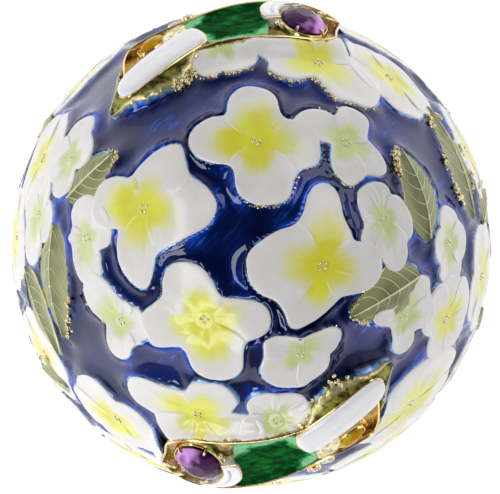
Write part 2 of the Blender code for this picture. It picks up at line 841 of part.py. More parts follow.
make_lid()
make_base()
make_foot()
for side, azimuth in mount_azimuths.items():
    seat = Seat(azimuth)
    make_mount("side_mount_" + side, seat)
    make_stone("amethyst_" + side, seat, amethyst_at, amethyst_half, amethyst_crown,
               0, middle_sides, (0.25, 0.05, 0.35))
    make_stone("citrine_" + side, seat, citrine_at, citrine_half, citrine_crown,
               citrine_turn, citrine_sides, (0.95, 0.6, 0.05))
    for spot_name, spot in crystal_spots.items():
        make_stone("crystal_" + spot_name + "_" + side, seat, spot, crystal_half, crystal_crown,
                   0, small_sides, (0.95, 0.95, 0.95))
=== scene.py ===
import math
import random

import bpy
import numpy as np
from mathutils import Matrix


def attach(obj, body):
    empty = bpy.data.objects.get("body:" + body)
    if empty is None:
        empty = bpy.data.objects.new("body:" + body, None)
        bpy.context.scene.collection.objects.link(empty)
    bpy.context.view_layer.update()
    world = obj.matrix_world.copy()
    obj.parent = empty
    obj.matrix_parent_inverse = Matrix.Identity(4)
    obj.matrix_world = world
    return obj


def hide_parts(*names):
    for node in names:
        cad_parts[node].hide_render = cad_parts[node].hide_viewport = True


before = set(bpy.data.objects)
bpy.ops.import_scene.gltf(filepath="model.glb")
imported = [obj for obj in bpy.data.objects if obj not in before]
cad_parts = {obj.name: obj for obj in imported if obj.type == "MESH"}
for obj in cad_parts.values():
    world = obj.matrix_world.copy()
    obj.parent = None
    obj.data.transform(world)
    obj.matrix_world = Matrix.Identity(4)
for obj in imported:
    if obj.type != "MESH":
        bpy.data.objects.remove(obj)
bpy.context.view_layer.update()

# Camera, floor and light: the box stands on a plain white table and is seen from above its pointed tip.
# The table glows a little, so the egg's shoulders mirror it, and three soft boxes stand round it.
MM = 0.001
egg_level = 40.8 * MM
photo_tilt = math.radians(2)
photo_distance = 400 * MM
photo_nudge = 0.13 * MM

camera = bpy.data.objects.new("camera", bpy.data.cameras.new("camera"))
bpy.context.scene.collection.objects.link(camera)
camera.data.lens = 221.6
camera.data.clip_start = 0.01
camera.rotation_euler = (photo_tilt, 0, 0)
camera.location = (
    -photo_nudge,
    photo_nudge - photo_distance * math.sin(photo_tilt),
    egg_level + photo_distance * math.cos(photo_tilt),
)
bpy.context.scene.camera = camera
bpy.context.scene.view_settings.view_transform = "Standard"

table_reach = 1.5
table_mesh = bpy.data.meshes.new("table")
table_mesh.from_pydata(
    [(x * table_reach, y * table_reach, 0) for x, y in ((-1, -1), (1, -1), (1, 1), (-1, 1))],
    [],
    [(0, 1, 2, 3)],
)
table = bpy.data.objects.new("table", table_mesh)
bpy.context.scene.collection.objects.link(table)
table_paint = bpy.data.materials.new("table_paint")
table_paint.use_nodes = True
paint = table_paint.node_tree.nodes["Principled BSDF"]
paint.inputs["Base Color"].default_value = (0.8, 0.8, 0.8, 1)
paint.inputs["Roughness"].default_value = 0.9
paint.inputs["Emission Color"].default_value = (1, 1, 1, 1)
paint.inputs["Emission Strength"].default_value = 0.65
table_mesh.materials.append(table_paint)

# Soft boxes: azimuth, elevation, width and height in metres, watts
soft_box_distance = 0.9
soft_boxes = [
    (190, 45, 1.1, 0.2, 3.7),
    (-110, 29, 0.6, 0.17, 2.5),
    (35, 40, 1.0, 0.45, 3.2),
]
for index, (azimuth, elevation, width, height, watts) in enumerate(soft_boxes):
    light = bpy.data.objects.new(f"soft_box_{index}", bpy.data.lights.new(f"soft_box_{index}", "AREA"))
    light.data.shape = "RECTANGLE"
    light.data.size = width
    light.data.size_y = height
    light.data.energy = watts
    turn, rise = math.radians(azimuth), math.radians(elevation)
    light.location = (
        soft_box_distance * math.cos(turn) * math.cos(rise),
        soft_box_distance * math.sin(turn) * math.cos(rise),
        egg_level + soft_box_distance * math.sin(rise),
    )
    light.rotation_euler = (math.pi / 2 - rise, 0, turn + math.pi / 2)
    bpy.context.scene.collection.objects.link(light)

# The room is bright at table height, less so in front, and dark overhead, where the camera looks down.
room = bpy.data.worlds.new("room")
bpy.context.scene.world = room
room.use_nodes = True
links = room.node_tree.links
sky = room.node_tree.nodes["Background"]
sky.inputs["Strength"].default_value = 0.76
level = room.node_tree.nodes.new("ShaderNodeSeparateXYZ")
links.new(room.node_tree.nodes.new("ShaderNodeTexCoord").outputs["Generated"], level.inputs[0])
brightness = room.node_tree.nodes.new("ShaderNodeMath")
brightness.operation = "MULTIPLY"
links.new(brightness.outputs[0], sky.inputs["Color"])
# Direction, where the change starts and ends, and the brightness on its two sides
room_shades = [
    ("Z", math.sin(math.radians(1)), math.sin(math.radians(31)), 1.0, 0.04),
    ("Y", -0.8, -0.35, 0.3, 1.0),
]
for index, (direction, start, end, before, after) in enumerate(room_shades):
    shade = room.node_tree.nodes.new("ShaderNodeMapRange")
    shade.interpolation_type = "SMOOTHSTEP"
    shade.inputs["From Min"].default_value = start
    shade.inputs["From Max"].default_value = end
    shade.inputs["To Min"].default_value = before
    shade.inputs["To Max"].default_value = after
    links.new(level.outputs[direction], shade.inputs["Value"])
    links.new(shade.outputs[0], brightness.inputs[index])

# Shell of the lid: cast metal, brushed on the outside under a clear cobalt enamel, and gilt inside.
# Its mouth fits over the lip of the base, and a plain gilt band runs round the seam.
half_width = 30 * MM
rise_above = 45 * MM
drop_below = 36 * MM
tip_lean = math.radians(89.6)
wall = 1.6 * MM
seam_drop = 4 * MM
fit_gap = 0.3 * MM
lip_rise = 3 * MM
bore_blend = 1.2 * MM
band_height = 2.2 * MM
band_proud = 0.7 * MM
# Shares of the band's height, and of how far it stands proud there
band_rounding = [(0.0, 0.35), (0.06, 0.75), (0.16, 1.0), (0.84, 1.0), (0.94, 0.75), (1.0, 0.3), (1.04, -0.4)]
round_steps = 192
lid_steps = 48
hollow_steps = 24
shell_crease = 40


def egg_points(ways, heights):
    """Points over the egg's blue ground, square to it, for rows of directions from its middle."""
    rise = np.where(ways[..., 2:] >= 0, rise_above, drop_below)
    axes = np.concatenate([np.full_like(rise, half_width), np.full_like(rise, half_width), rise], axis=-1)
    ground = ways / np.linalg.norm(ways / axes, axis=-1, keepdims=True)
    square = ground / axes**2
    square /= np.linalg.norm(square, axis=-1, keepdims=True)
    return ground + square * np.asarray(heights)[..., None] + np.array([0, 0, egg_level])


class Casting:
    """The closed forms of one piece, gathered with what the materials need to know at each point."""

    def __init__(self):
        self.points = []
        self.faces = []
        self.slots = []
        self.values = {}
        self.count = 0

    def loft(self, loops, slot=0, ring=False, slots=None, shifts=None, **values):
        """Closed form through a stack of loops: capped at both ends, or joined into a ring.

        Loops that are turned by half a step against each other, by their shifts, are joined by triangles.
        """
        loops = np.asarray(loops, dtype=float)
        rows, across = loops.shape[:2]
        points = loops.reshape(-1, 3)
        index = np.arange(rows * across).reshape(rows, across)
        if ring:
            index = np.vstack([index, index[:1]])
        lower, upper = index[:-1], index[1:]
        ahead_lower, ahead_upper = np.roll(lower, -1, 1), np.roll(upper, -1, 1)
        quads = np.stack([lower, ahead_lower, ahead_upper, upper], axis=-1)
        quad_slots = np.repeat(slots if slots is not None else [slot] * len(lower), across)
        quads = quads.reshape(-1, 4)
        faces = quads.tolist()
        if shifts:
            faces = []
            for row, (a, b) in enumerate(zip(shifts, shifts[1:])):
                for low, ahead_low, ahead_up, up in quads[row * across:(row + 1) * across].tolist():
                    if b > a:
                        faces += [[low, ahead_low, up], [ahead_low, ahead_up, up]]
                    elif a > b:
                        faces += [[low, ahead_up, up], [low, ahead_low, ahead_up]]
                    else:
                        faces.append([low, ahead_low, ahead_up, up])
            quad_slots = [slot] * len(faces)
        fans = []
        if not ring:
            points = np.vstack([points, loops[0].mean(0), loops[-1].mean(0)])
            first, last = rows * across, rows * across + 1
            for side, middle, row in ((1, first, index[0]), (-1, last, index[-1])):
                ahead = np.roll(row, -1)
                for a, b in zip(row, ahead):
                    fans.append([middle, b, a] if side > 0 else [middle, a, b])
        ends = len(fans) // 2
        face_slots = list(quad_slots) + [quad_slots[0]] * ends + [quad_slots[-1]] * ends
        corners = points[quads]
        halves = [corners[:, :3], corners[:, [0, 2, 3]]]
        if fans:
            halves.append(points[np.array(fans)])
        halves = np.concatenate(halves)
        bulk = np.einsum("ij,ij->i", halves[:, 0], np.cross(halves[:, 1], halves[:, 2])).sum()
        faces += fans
        if bulk < 0:
            faces = [face[::-1] for face in faces]
        self.faces += [[corner + self.count for corner in face] for face in faces]
        self.slots += face_slots
        self.points.append(points)
        for name, given in values.items():
            given = np.asarray(given, dtype=float)
            width = given.shape[2:] if given.ndim > 2 else ()
            full = np.broadcast_to(given, (rows, across) + width)
            flat = full.reshape((-1,) + width)
            if not ring:
                flat = np.concatenate([flat, full[:1].mean(1), full[-1:].mean(1)])
            self.values.setdefault(name, []).append((self.count, flat))
        self.count += len(points)

    def piece(self, name, materials, crease=None):
        """The finished object, smooth except over its sharp edges."""
        mesh = bpy.data.meshes.new(name)
        mesh.from_pydata(np.concatenate(self.points), [], self.faces)
        for material in materials:
            mesh.materials.append(material)
        mesh.polygons.foreach_set("material_index", np.array(self.slots, dtype=np.int32))
        mesh.polygons.foreach_set("use_smooth", [True] * len(mesh.polygons))
        for key, parts in self.values.items():
            vector = parts[0][1].ndim > 1
            full = np.zeros((self.count, 3) if vector else self.count)
            for start, flat in parts:
                full[start:start + len(flat)] = flat
            layer = mesh.attributes.new(key, "FLOAT_VECTOR" if vector else "FLOAT", "POINT")
            layer.data.foreach_set("vector" if vector else "value", full.ravel())
        if crease:
            mesh.set_sharp_from_angle(angle=math.radians(crease))
        obj = bpy.data.objects.new(name, mesh)
        bpy.context.scene.collection.objects.link(obj)
        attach(obj, "root")
        return obj


class Finish:
    """A material with its shader, and the wiring of its nodes in few words."""

    def __init__(self, name, **constants):
        self.material = bpy.data.materials.new(name)
        self.material.use_nodes = True
        self.tree = self.material.node_tree
        self.shader = self.tree.nodes["Principled BSDF"]
        for key, value in constants.items():
            self.shader.inputs[key.replace("_", " ").title().replace("Ior", "IOR")].default_value = value

    def node(self, kind, **settings):
        made = self.tree.nodes.new("ShaderNode" + kind)
        for key, value in settings.items():
            setattr(made, key, value)
        return made

    def wire(self, given, socket):
        """Links an output to a socket, or sets the socket to a value."""
        if hasattr(given, "is_output"):
            self.tree.links.new(given, socket)
        else:
            socket.default_value = given

    def attribute(self, name, output="Fac"):
        return self.node("Attribute", attribute_name=name).outputs[output]

    def math(self, operation, first, second=0.0):
        made = self.node("Math", operation=operation)
        self.wire(first, made.inputs[0])
        self.wire(second, made.inputs[1])
        return made.outputs[0]

    def noise(self, scale, detail=3.0, rough=0.5, where=None, stretch=None, turn=0):
        """Cloudy pattern from 0 to 1, scale in patches to the metre, drawn out along a turned axis."""
        made = self.node("TexNoise")
        made.inputs["Scale"].default_value = scale
        made.inputs["Detail"].default_value = detail
        made.inputs["Roughness"].default_value = rough
        where = where or self.node("TexCoord").outputs["Object"]
        if stretch:
            mapping = self.node("Mapping")
            mapping.vector_type = "TEXTURE"
            mapping.inputs["Rotation"].default_value = (0, 0, math.radians(turn))
            mapping.inputs["Scale"].default_value = [1 / share for share in stretch]
            self.wire(where, mapping.inputs["Vector"])
            where = mapping.outputs[0]
        self.wire(where, made.inputs["Vector"])
        return made.outputs["Fac"]

    def step(self, value, low, high, to_low=0.0, to_high=1.0):
        """Eased change from one level to another as the value passes from low to high."""
        made = self.node("MapRange", interpolation_type="SMOOTHSTEP")
        self.wire(value, made.inputs["Value"])
        made.inputs["From Min"].default_value = low
        made.inputs["From Max"].default_value = high
        made.inputs["To Min"].default_value = to_low
        made.inputs["To Max"].default_value = to_high
        return made.outputs[0]

    def blend(self, share, first, second):
        made = self.node("Mix", data_type="RGBA")
        self.wire(share, made.inputs[0])
        self.wire(first if hasattr(first, "is_output") else (*first, 1), made.inputs[6])
        self.wire(second if hasattr(second, "is_output") else (*second, 1), made.inputs[7])
        return made.outputs[2]

    def colour(self, given):
        self.wire(given, self.shader.inputs["Base Color"])

    def relief(self, height, depth, strength=1.0):
        """Fine grain of the surface, in the light alone."""
        made = self.node("Bump")
        made.inputs["Distance"].default_value = depth
        made.inputs["Strength"].default_value = strength
        self.wire(height, made.inputs["Height"])
        self.wire(made.outputs[0], self.shader.inputs["Normal"])


def cobalt_enamel():
    """Clear blue over brushed metal: pale where it thins out against a petal, nearly black where deep, with
    painted bright blue glints along the brushing.
    """
    finish = Finish("cobalt_enamel", metallic=0.7, roughness=0.36, specular_ior_level=0.2,
                    specular_tint=(0.05, 0.15, 0.6, 1.0), coat_weight=0.9, coat_roughness=0.02, coat_ior=1.5)
    black_blue, night_blue, glint_blue = (0.001, 0.006, 0.055), (0.002, 0.016, 0.15), (0.008, 0.09, 0.52)
    bright_blue, pale_blue = (0.012, 0.08, 0.60), (0.22, 0.50, 0.95)
    brushed = finish.noise(330, 4, 0.65, stretch=(1.0, 5.0, 1.0), turn=50)
    patches = finish.noise(130, 3)
    shoals = finish.noise(420, 2)
    swell = finish.noise(95, 2)
    fringe = finish.attribute("fringe")
    # Painted glints: bright blue streaks along the brushing, where the metal under the enamel would catch the
    # light.
    brushed_glints = finish.math("MULTIPLY", finish.step(brushed, 0.55, 0.68), finish.step(patches, 0.46, 0.60))
    deep = finish.blend(finish.step(patches, 0.35, 0.65), black_blue, night_blue)
    deep = finish.blend(brushed_glints, deep, glint_blue)
    bright = finish.math("MULTIPLY", finish.step(fringe, 0.45, 0.80), finish.step(patches, 0.50, 0.62))
    shade = finish.blend(bright, deep, bright_blue)
    pale = finish.math("MULTIPLY", finish.step(fringe, 0.86, 0.97), finish.step(shoals, 0.35, 0.62))
    finish.colour(finish.blend(pale, shade, pale_blue))
    waves = finish.math("ADD", finish.math("MULTIPLY", brushed, 0.25), swell)
    finish.relief(waves, 0.55 * MM, 0.8)
    return finish.material


def gilding():
    """Polished gilt metal with a faint grain and slightly redder hollows."""
    finish = Finish("gilding", metallic=1.0)
    hollow_gold, bright_gold = (0.78, 0.56, 0.22), (0.92, 0.74, 0.38)
    clouds = finish.noise(300, 3)
    grain = finish.noise(1800, 2)
    finish.colour(finish.blend(finish.step(clouds, 0.3, 0.7), hollow_gold, bright_gold))
    finish.wire(finish.step(grain, 0.2, 0.8, 0.14, 0.30), finish.shader.inputs["Roughness"])
    finish.relief(grain, 0.04 * MM, 0.5)
    return finish.material


blue = cobalt_enamel()
gilt = gilding()


def turned(profile):
    """Loops of a turned form, from rows of radius and level above the egg's middle."""
    turns = np.linspace(0, 2 * np.pi, round_steps, endpoint=False)
    radius, level = np.array(profile).T
    across = radius[:, None] * np.cos(turns)
    ahead = radius[:, None] * np.sin(turns)
    return np.stack([across, ahead, np.broadcast_to(level[:, None] + egg_level, across.shape)], axis=-1)


def shell_width(level):
    """Radius of the blue ground at a level above the egg's middle."""
    rise = rise_above if level >= 0 else drop_below
    return half_width * math.sqrt(max(0.0, 1 - (level / rise) ** 2))


def ground_profile(start, rise, thickness, steps):
    """Rows of the egg's curve from a level to just short of its tip."""
    width, height = half_width - thickness, abs(rise) - thickness
    side = 1 if rise > 0 else -1
    lean = math.asin(start * side / height)
    leans = [lean + (tip_lean - lean) * step / (steps - 1) for step in range(steps)]
    return [(width * math.cos(angle), side * height * math.sin(angle)) for angle in leans]


def band_profile(seam, side):
    """The plain band at the seam, softly rounded at both edges."""
    top = seam + side * band_height
    return [(shell_width(seam + share * (top - seam)) + band_proud * proud, seam + share * (top - seam))
            for share, proud in band_rounding]


def cast_shell(name, ground, band, inside):
    """One half of the egg in one closed casting: enamelled ground, gilt band and gilt inside."""
    profile = ground[::-1] + band[::-1] + inside
    slots = [0] * (len(ground) - 1) + [1] * (len(profile) - len(ground))
    shell = Casting()
    shell.loft(turned(profile), slots=slots)
    return shell.piece(name, [blue, gilt], crease=shell_crease)


seam = -seam_drop + fit_gap / 2
bore = (half_width - wall) * math.sqrt(1 - (seam_drop / (drop_below - wall)) ** 2)
bore_top = -seam_drop + lip_rise + fit_gap
lid_inside = [(bore, seam), (bore, bore_top)]
lid_inside += ground_profile(bore_top + bore_blend, rise_above, wall, hollow_steps)
lid_ground = ground_profile(seam + band_height, rise_above, 0, lid_steps)
piece = cast_shell("lid_shell", lid_ground, band_profile(seam, 1), lid_inside)
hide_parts("lid")

# Flowers round the tip of the lid: each is chased in the metal with four or five petals, then flooded with
# white enamel that is tinted yellow or lime towards the middle, where four tiny beads stand. Beside the two
# side mounts the petals run up against the trays, so the trays' outline is drawn here.
petal_face = 0.89 * MM
petal_foot = -0.3 * MM
petal_brim = 0.55 * MM
petal_lap = 0.30
petal_belly = 0.07 * MM
petal_wave = 0.05 * MM
petal_ripple = 0.04 * MM
petal_meniscus = 0.92 * MM
shore_reach = 4 * MM
petal_columns = 60
# Heights of neighbouring petals over each other, in millimetres
petal_levels = [0.0, 0.06, 0.02, 0.08, 0.04]
# Rows of a petal: share of the way from its middle to its edge, and how far it drops there, in millimetres
petal_rows = [
    (0.12, 0), (0.26, 0), (0.4, 0), (0.52, 0), (0.63, 0), (0.73, 0), (0.81, 0), (0.88, 0),
    (0.925, 0.01), (0.955, 0.03), (0.975, 0.06), (0.988, 0.11), (0.996, 0.19), (1.0, 0.3), (1.008, 0.6),
    (1.03, 1.5),
]
# The dished middle of a flower, and the eye and the beads that stand in it
middle_depth = 0.25 * MM
middle_reach = 2.2 * MM
eye_shore = (0.8 * MM, 2.6 * MM)
great_flower = 5 * MM
great_eye = 1.35 * MM
small_eye = 1.0 * MM
eye_steps = 28
# Rows of an eye: share of its size, and height over the petals in millimetres
eye_rows = [(0.2, 0.04), (0.5, 0.035), (0.75, 0.02), (0.9, 0.0), (1.0, -0.05), (0.98, -1.2)]
bead_steps = 10
bead_leans = np.radians([12, 35, 60, 85, 110, 140])
# Outlines: bearings all round, then the least reach, the widest place and the spread of a petal's lobe
outline_steps = 144
outline_bearings = np.linspace(0, 2 * np.pi, outline_steps, endpoint=False)
outline_rays = np.stack([np.cos(outline_bearings), np.sin(outline_bearings)], axis=-1)
lobe_least = 1.9 * MM
lobe_widest = 0.6
lobe_spread = 1.62
# All that differs by chance from petal to petal and from crumb to crumb is drawn from here, in one order
dice = random.Random(11)

# The trays of the side mounts: where they sit, how near and how high petals run up against them, and their
# outline in millimetres, down the egg and across it
mount_polar = 50
mount_azimuths = {"front": -84, "back": 96}
mount_nearness = 0.8
mount_climb = 1.3 * MM
mount_shore = 3.0 * MM
under_tray = 0.2 * MM
tray_outline = [
    (-3.3, -13.0), (-6.0, -12.2), (-7.8, -9.6), (-8.2, -5.2), (-8.5, -1.2), (-9.1, 1.9), (-10.4, 4.9),
    (-11.9, 7.0), (-13.4, 9.2), (-14.3, 11.1), (-14.1, 12.2), (-12.9, 12.6), (-10.6, 12.5), (-8.0, 12.6),
    (-5.4, 12.6), (-3.3, 11.8), (-2.2, 9.2), (-1.2, 6.4), (0.1, 4.1), (2.0, 1.7), (4.5, -1.6), (6.6, -4.8),
    (7.9, -8.0), (7.4, -10.6), (5.2, -12.9), (1.0, -14.2),
]


def smooth(value, low, high):
    """Share from nought to one, eased at both ends, as a value passes from low to high."""
    share = np.clip((np.asarray(value) - low) / (high - low), 0, 1)
    return share * share * (3 - 2 * share)


def rounded_loop(corners, steps):
    """Closed smooth curve through the corners."""
    corners = np.array(corners, dtype=float)
    shares = np.linspace(0, 1, steps, endpoint=False)[None, :, None]
    before, start, end, after = (np.roll(corners, shift, 0)[:, None] for shift in (1, 0, -1, -2))
    curve = 0.5 * (2 * start + (end - before) * shares
                   + (2 * before - 5 * start + 4 * end - after) * shares**2
                   + (3 * start - before - 3 * end + after) * shares**3)
    return curve.reshape(-1, corners.shape[1])


tray_loop = rounded_loop(tray_outline, 4) * MM


def outside(points, loop):
    """Distance of points from a closed loop, negative inside it."""
    ahead = np.roll(loop, -1, 0) - loop
    apart = points[:, None] - loop
    share = np.clip((apart * ahead).sum(-1) / (ahead**2).sum(-1), 0, 1)
    away = np.linalg.norm(apart - share[..., None] * ahead, axis=-1).min(1)
    astride = (apart[..., 1] < 0) != (apart[..., 1] < ahead[..., 1])
    beyond = apart[..., 0] < ahead[..., 0] * apart[..., 1] / np.where(ahead[..., 1] == 0, 1, ahead[..., 1])
    return np.where((astride & beyond).sum(1) % 2 == 1, -away, away)


class Sheet:
    """A flat sheet laid on the egg at one azimuth and polar angle, where an ornament is drawn in metres."""

    def __init__(self, azimuth, polar, on_mount=False):
        turn, lean = math.radians(azimuth), math.radians(polar)
        outward = np.array([math.cos(turn), math.sin(turn), 0])
        upward = np.array([0, 0, 1])
        self.on_mount = on_mount
        self.out = outward * math.sin(lean) + upward * math.cos(lean)
        self.down = outward * math.cos(lean) - upward * math.sin(lean)
        self.across = np.cross(self.out, self.down)
        self.reach = np.linalg.norm(egg_points(self.out, 0) - np.array([0, 0, egg_level]))

    def ways(self, drawn):
        """Directions from the egg's middle to drawn points."""
        ways = self.out * self.reach + drawn[..., :1] * self.down + drawn[..., 1:] * self.across
        return ways / np.linalg.norm(ways, axis=-1, keepdims=True)

    def lay(self, drawn, height):
        """Places over the egg for drawn points, at their heights over the blue ground."""
        ways = self.ways(np.asarray(drawn))
        height = np.broadcast_to(height, ways.shape[:-1])
        if not self.on_mount:
            height = run_up(ways, height)
        return egg_points(ways, height)

    def flatten(self, ways):
        """Where directions from the egg's middle meet the sheet."""
        scale = self.reach / (ways @ self.out)
        return np.stack([ways @ self.down, ways @ self.across], axis=-1) * scale[..., None]

    def drawn(self, azimuth, polar):
        return self.flatten(Sheet(azimuth, polar).out)


def run_up(ways, height):
    """Heights of an ornament: raised where it runs up against a tray, and kept low beneath it."""
    for azimuth in mount_azimuths.values():
        tray = Sheet(azimuth, mount_polar, True)
        near = ways @ tray.out > mount_nearness
        if near.any():
            away = outside(tray.flatten(ways[near]), tray_loop)
            climb = mount_climb * (1 - smooth(away, 0, mount_shore))
            climb *= smooth(height[near], 0, 0.8 * petal_face)
            height = height.copy()
            height[near] = np.where(away > 0, height[near] + climb, np.minimum(height[near], under_tray))
    return height


def traced_outline(reaches):
    """Reach at fine bearings all round a flower, from measures in millimetres every 15 degrees."""
    fine = rounded_loop(np.array(reaches)[:, None], outline_steps // len(reaches))
    return fine[:, 0] * MM


def lobed_outline(petals):
    """Reach at fine bearings all round a flower, from each petal's bearing, length and half width."""
    reach = np.full(outline_steps, lobe_least)
    for bearing, length, half in petals:
        turn = (outline_bearings - math.radians(bearing) + np.pi) % (2 * np.pi) - np.pi
        spread = lobe_spread * math.atan2(half, lobe_widest * length)
        wave = 1 + 0.03 * np.sin(5 * turn + dice.uniform(0, 6))
        wave -= dice.uniform(0, 0.05) * np.exp(-(turn / 0.2) ** 2)
        lobe = np.clip(np.cos(0.5 * np.pi * np.clip(turn / spread, -1, 1)), 0, 1) ** 0.4
        reach = np.maximum(reach, length * MM * lobe * wave)
    kernel = np.exp(-np.linspace(-1.6, 1.6, 7) ** 2)
    padded = np.concatenate([reach[-3:], reach, reach[:3]])
    return np.convolve(padded, kernel / kernel.sum(), "valid")


def notches_between(petals):
    """Bearings half way from each petal to the next."""
    middles = sorted(bearing % 360 for bearing, _, _ in petals)
    ahead = middles[1:] + [middles[0] + 360]
    return [(a + b) / 2 for a, b in zip(middles, ahead)]


def add_shore(shores, sheet, middle, reach, rise, edge):
    """An ornament's foot: its outline, how high the blue enamel climbs there, and how low its edge lies."""
    outline = middle + outline_rays * reach[:, None]
    span = (np.linalg.norm(outline, axis=1).max() + shore_reach) / sheet.reach
    shores.append((sheet, outline, math.cos(math.atan(span)), middle, reach, rise, edge))


def dished(face, far):
    """Height of a flower's face, dished towards its middle."""
    return face - middle_depth * np.exp(-(far / middle_reach) ** 2)


def add_petal(casting, sheet, reach, start, end, tint, strength, level, columns, face):
    """One petal, from notch to notch of the outline: its sides lap a little over or under the next ones."""
    middle, half = (start + end) / 2, (end - start) / 2
    turns = np.sin(0.5 * np.pi * np.linspace(-1, 1, columns, endpoint=False)) * (half + petal_lap)
    bearings = np.clip(turns, -half, half) + middle
    lobe = np.interp(bearings, outline_bearings, reach, period=2 * np.pi)
    past = np.clip((np.abs(turns) - half) / petal_lap, 0, 1)
    lobe = lobe * np.sqrt(np.clip(1 - past**2, 0, 1))
    length = lobe[columns // 2]
    line = np.array([math.cos(middle), math.sin(middle)])
    side = np.array([-line[1], line[0]])
    outline = lobe[:, None] * (np.cos(turns)[:, None] * line + np.sin(turns)[:, None] * side)
    pivot = line * 0.5 * length
    first, second = dice.uniform(0, 6), dice.uniform(0, 6)
    folds = [(dice.uniform(-0.6, 0.6) * half, dice.uniform(0.06, 0.12), dice.uniform(-0.06, 0.06) * MM)
             for _ in range(3)]
    loops = []
    warm = []
    rim = []
    streak = []
    for share, drop in petal_rows:
        drawn = pivot + (outline - pivot) * share
        far = np.linalg.norm(drawn, axis=1)
        turn = np.arctan2(drawn @ side, np.maximum(drawn @ line, 1e-6))
        leave = smooth(far, *eye_shore)
        height = dished(face, far) + level * leave
        height += petal_belly * smooth(np.full(len(far), share), 0.45, 0.92) * leave
        height += petal_wave * np.sin(5 * turn + first) * smooth(far, 0.4 * length, length)
        height += petal_ripple * np.sin(far / (0.9 * MM) + 2 * turn + second) * leave
        for at, wide, tall in folds:
            run = smooth(far, 0.1 * length, 0.3 * length) * (1 - smooth(far, 0.55 * length, 0.9 * length))
            height += tall * np.exp(-((turn - at) / wide) ** 2) * run
        height = height - np.minimum(drop * MM, height - petal_foot) * np.maximum(leave, float(share > 1))
        loops.append(sheet.lay(drawn, height))
        tinted = strength[1] * length * (1 - 0.30 * smooth(np.abs(turn), 0.2 * half, half))
        depth = 0.95 + (strength[0] - 0.95) * smooth(far, 0.9 * MM, 0.6 * tinted)
        warm.append(depth * (1 - smooth(far, 0.45 * tinted, 1.15 * tinted)))
        # Painted highlight: rim marks the petal's rounded edge, which is painted brighter as if it caught the
        # light.
        rim.append(np.full(len(far), smooth(share, 0.955, 0.996)) * leave * (past == 0))
        streak.append(np.stack([far * 0.25, turn * 4 * MM, np.full(len(far), first * MM)], axis=1))
    casting.loft(loops, warm=warm, rim=rim, streak=streak, lime=tint)


def add_bead(casting, sheet, drawn, height, radius, slot=0):
    """A round bead that stands half out of the surface."""
    foot = sheet.lay(np.array([drawn]), height)[0]
    way = sheet.ways(np.array(drawn))
    out = egg_points(way, MM) - egg_points(way, 0)
    out /= np.linalg.norm(out)
    side = np.cross(out, sheet.across)
    side /= np.linalg.norm(side)
    other = np.cross(out, side)
    turns = np.linspace(0, 2 * np.pi, bead_steps, endpoint=False)[:, None]
    around = np.cos(turns) * side + np.sin(turns) * other
    loops = [foot + out * (radius * math.cos(lean)) + radius * math.sin(lean) * around for lean in bead_leans]
    casting.loft(loops, slot=slot)


def add_eye(casting, sheet, tint, size, face):
    """Middle of a flower: a small tinted boss over the petals' ends, and its four beads."""
    turns = np.linspace(0, 2 * np.pi, eye_steps, endpoint=False)
    around = np.stack([np.cos(turns), np.sin(turns)], axis=1)
    loops = []
    streak = []
    for share, over in eye_rows:
        far = share * size
        loops.append(sheet.lay(around * far, dished(face, far) + over * MM))
        streak.append(np.stack([np.full(eye_steps, far * 0.25), turns * 4 * MM, np.zeros(eye_steps)], axis=1))
    casting.loft(loops, warm=0.95, rim=0.0, streak=streak, lime=tint)
    first = dice.uniform(0, 1.5)
    for index in range(4):
        turn = first + index * math.pi / 2 + dice.uniform(-0.25, 0.25)
        far = dice.uniform(0.36, 0.5) * MM
        add_bead(casting, sheet, (far * math.cos(turn), far * math.sin(turn)), face - 0.2 * MM,
                 dice.uniform(0.18, 0.22) * MM * (1 - 0.3 * tint), slot=1)


def white_enamel():
    """Glossy white enamel over chased petals, tinted at the flower's middle, with a painted highlight along
    its edge.
    """
    finish = Finish("white_enamel", roughness=0.36, coat_weight=0.45, coat_roughness=0.12, coat_ior=1.5)
    milk_white, snow_white = (0.80, 0.775, 0.755), (0.88, 0.86, 0.845)
    ray_grey, highlight_white = (0.62, 0.60, 0.57), (0.97, 0.97, 0.98)
    lemon, deep_yellow = (0.85, 0.87, 0.06), (0.80, 0.76, 0.04)
    pale_lime, deep_lime = (0.72, 0.80, 0.36), (0.62, 0.70, 0.28)
    warm, rim = finish.attribute("warm"), finish.attribute("rim")
    lime, streak = finish.attribute("lime"), finish.attribute("streak", "Vector")
    clouds = finish.noise(220, 3)
    rays = finish.noise(1500, 3, 0.6, where=streak)
    white = finish.blend(finish.step(clouds, 0.3, 0.7), milk_white, snow_white)
    white = finish.blend(finish.step(rays, 0.62, 0.80, 0.0, 0.25), white, ray_grey)
    # Painted highlight: near white along the petal's edge.
    white = finish.blend(finish.math("MULTIPLY", rim, 0.8), white, highlight_white)
    yellow = finish.blend(finish.step(clouds, 0.35, 0.65), lemon, deep_yellow)
    green = finish.blend(finish.step(clouds, 0.35, 0.65), pale_lime, deep_lime)
    tint = finish.blend(lime, yellow, green)
    ragged = finish.math("ADD", warm, finish.math("MULTIPLY", finish.math("SUBTRACT", rays, 0.5), 0.5))
    share = finish.math("MULTIPLY", finish.step(ragged, 0.0, 0.95), finish.step(warm, 0.0, 0.15))
    finish.colour(finish.blend(share, white, tint))
    finish.relief(rays, 0.05 * MM, 0.35)
    return finish.material


def bead_metal():
    """Tiny rose-white metal beads."""
    finish = Finish("bead_metal", metallic=1.0, roughness=0.22)
    rose_white, rose_grey = (0.95, 0.86, 0.82), (0.70, 0.58, 0.60)
    finish.colour(finish.blend(finish.noise(2500, 2), rose_white, rose_grey))
    return finish.material


white = white_enamel()
beads = bead_metal()

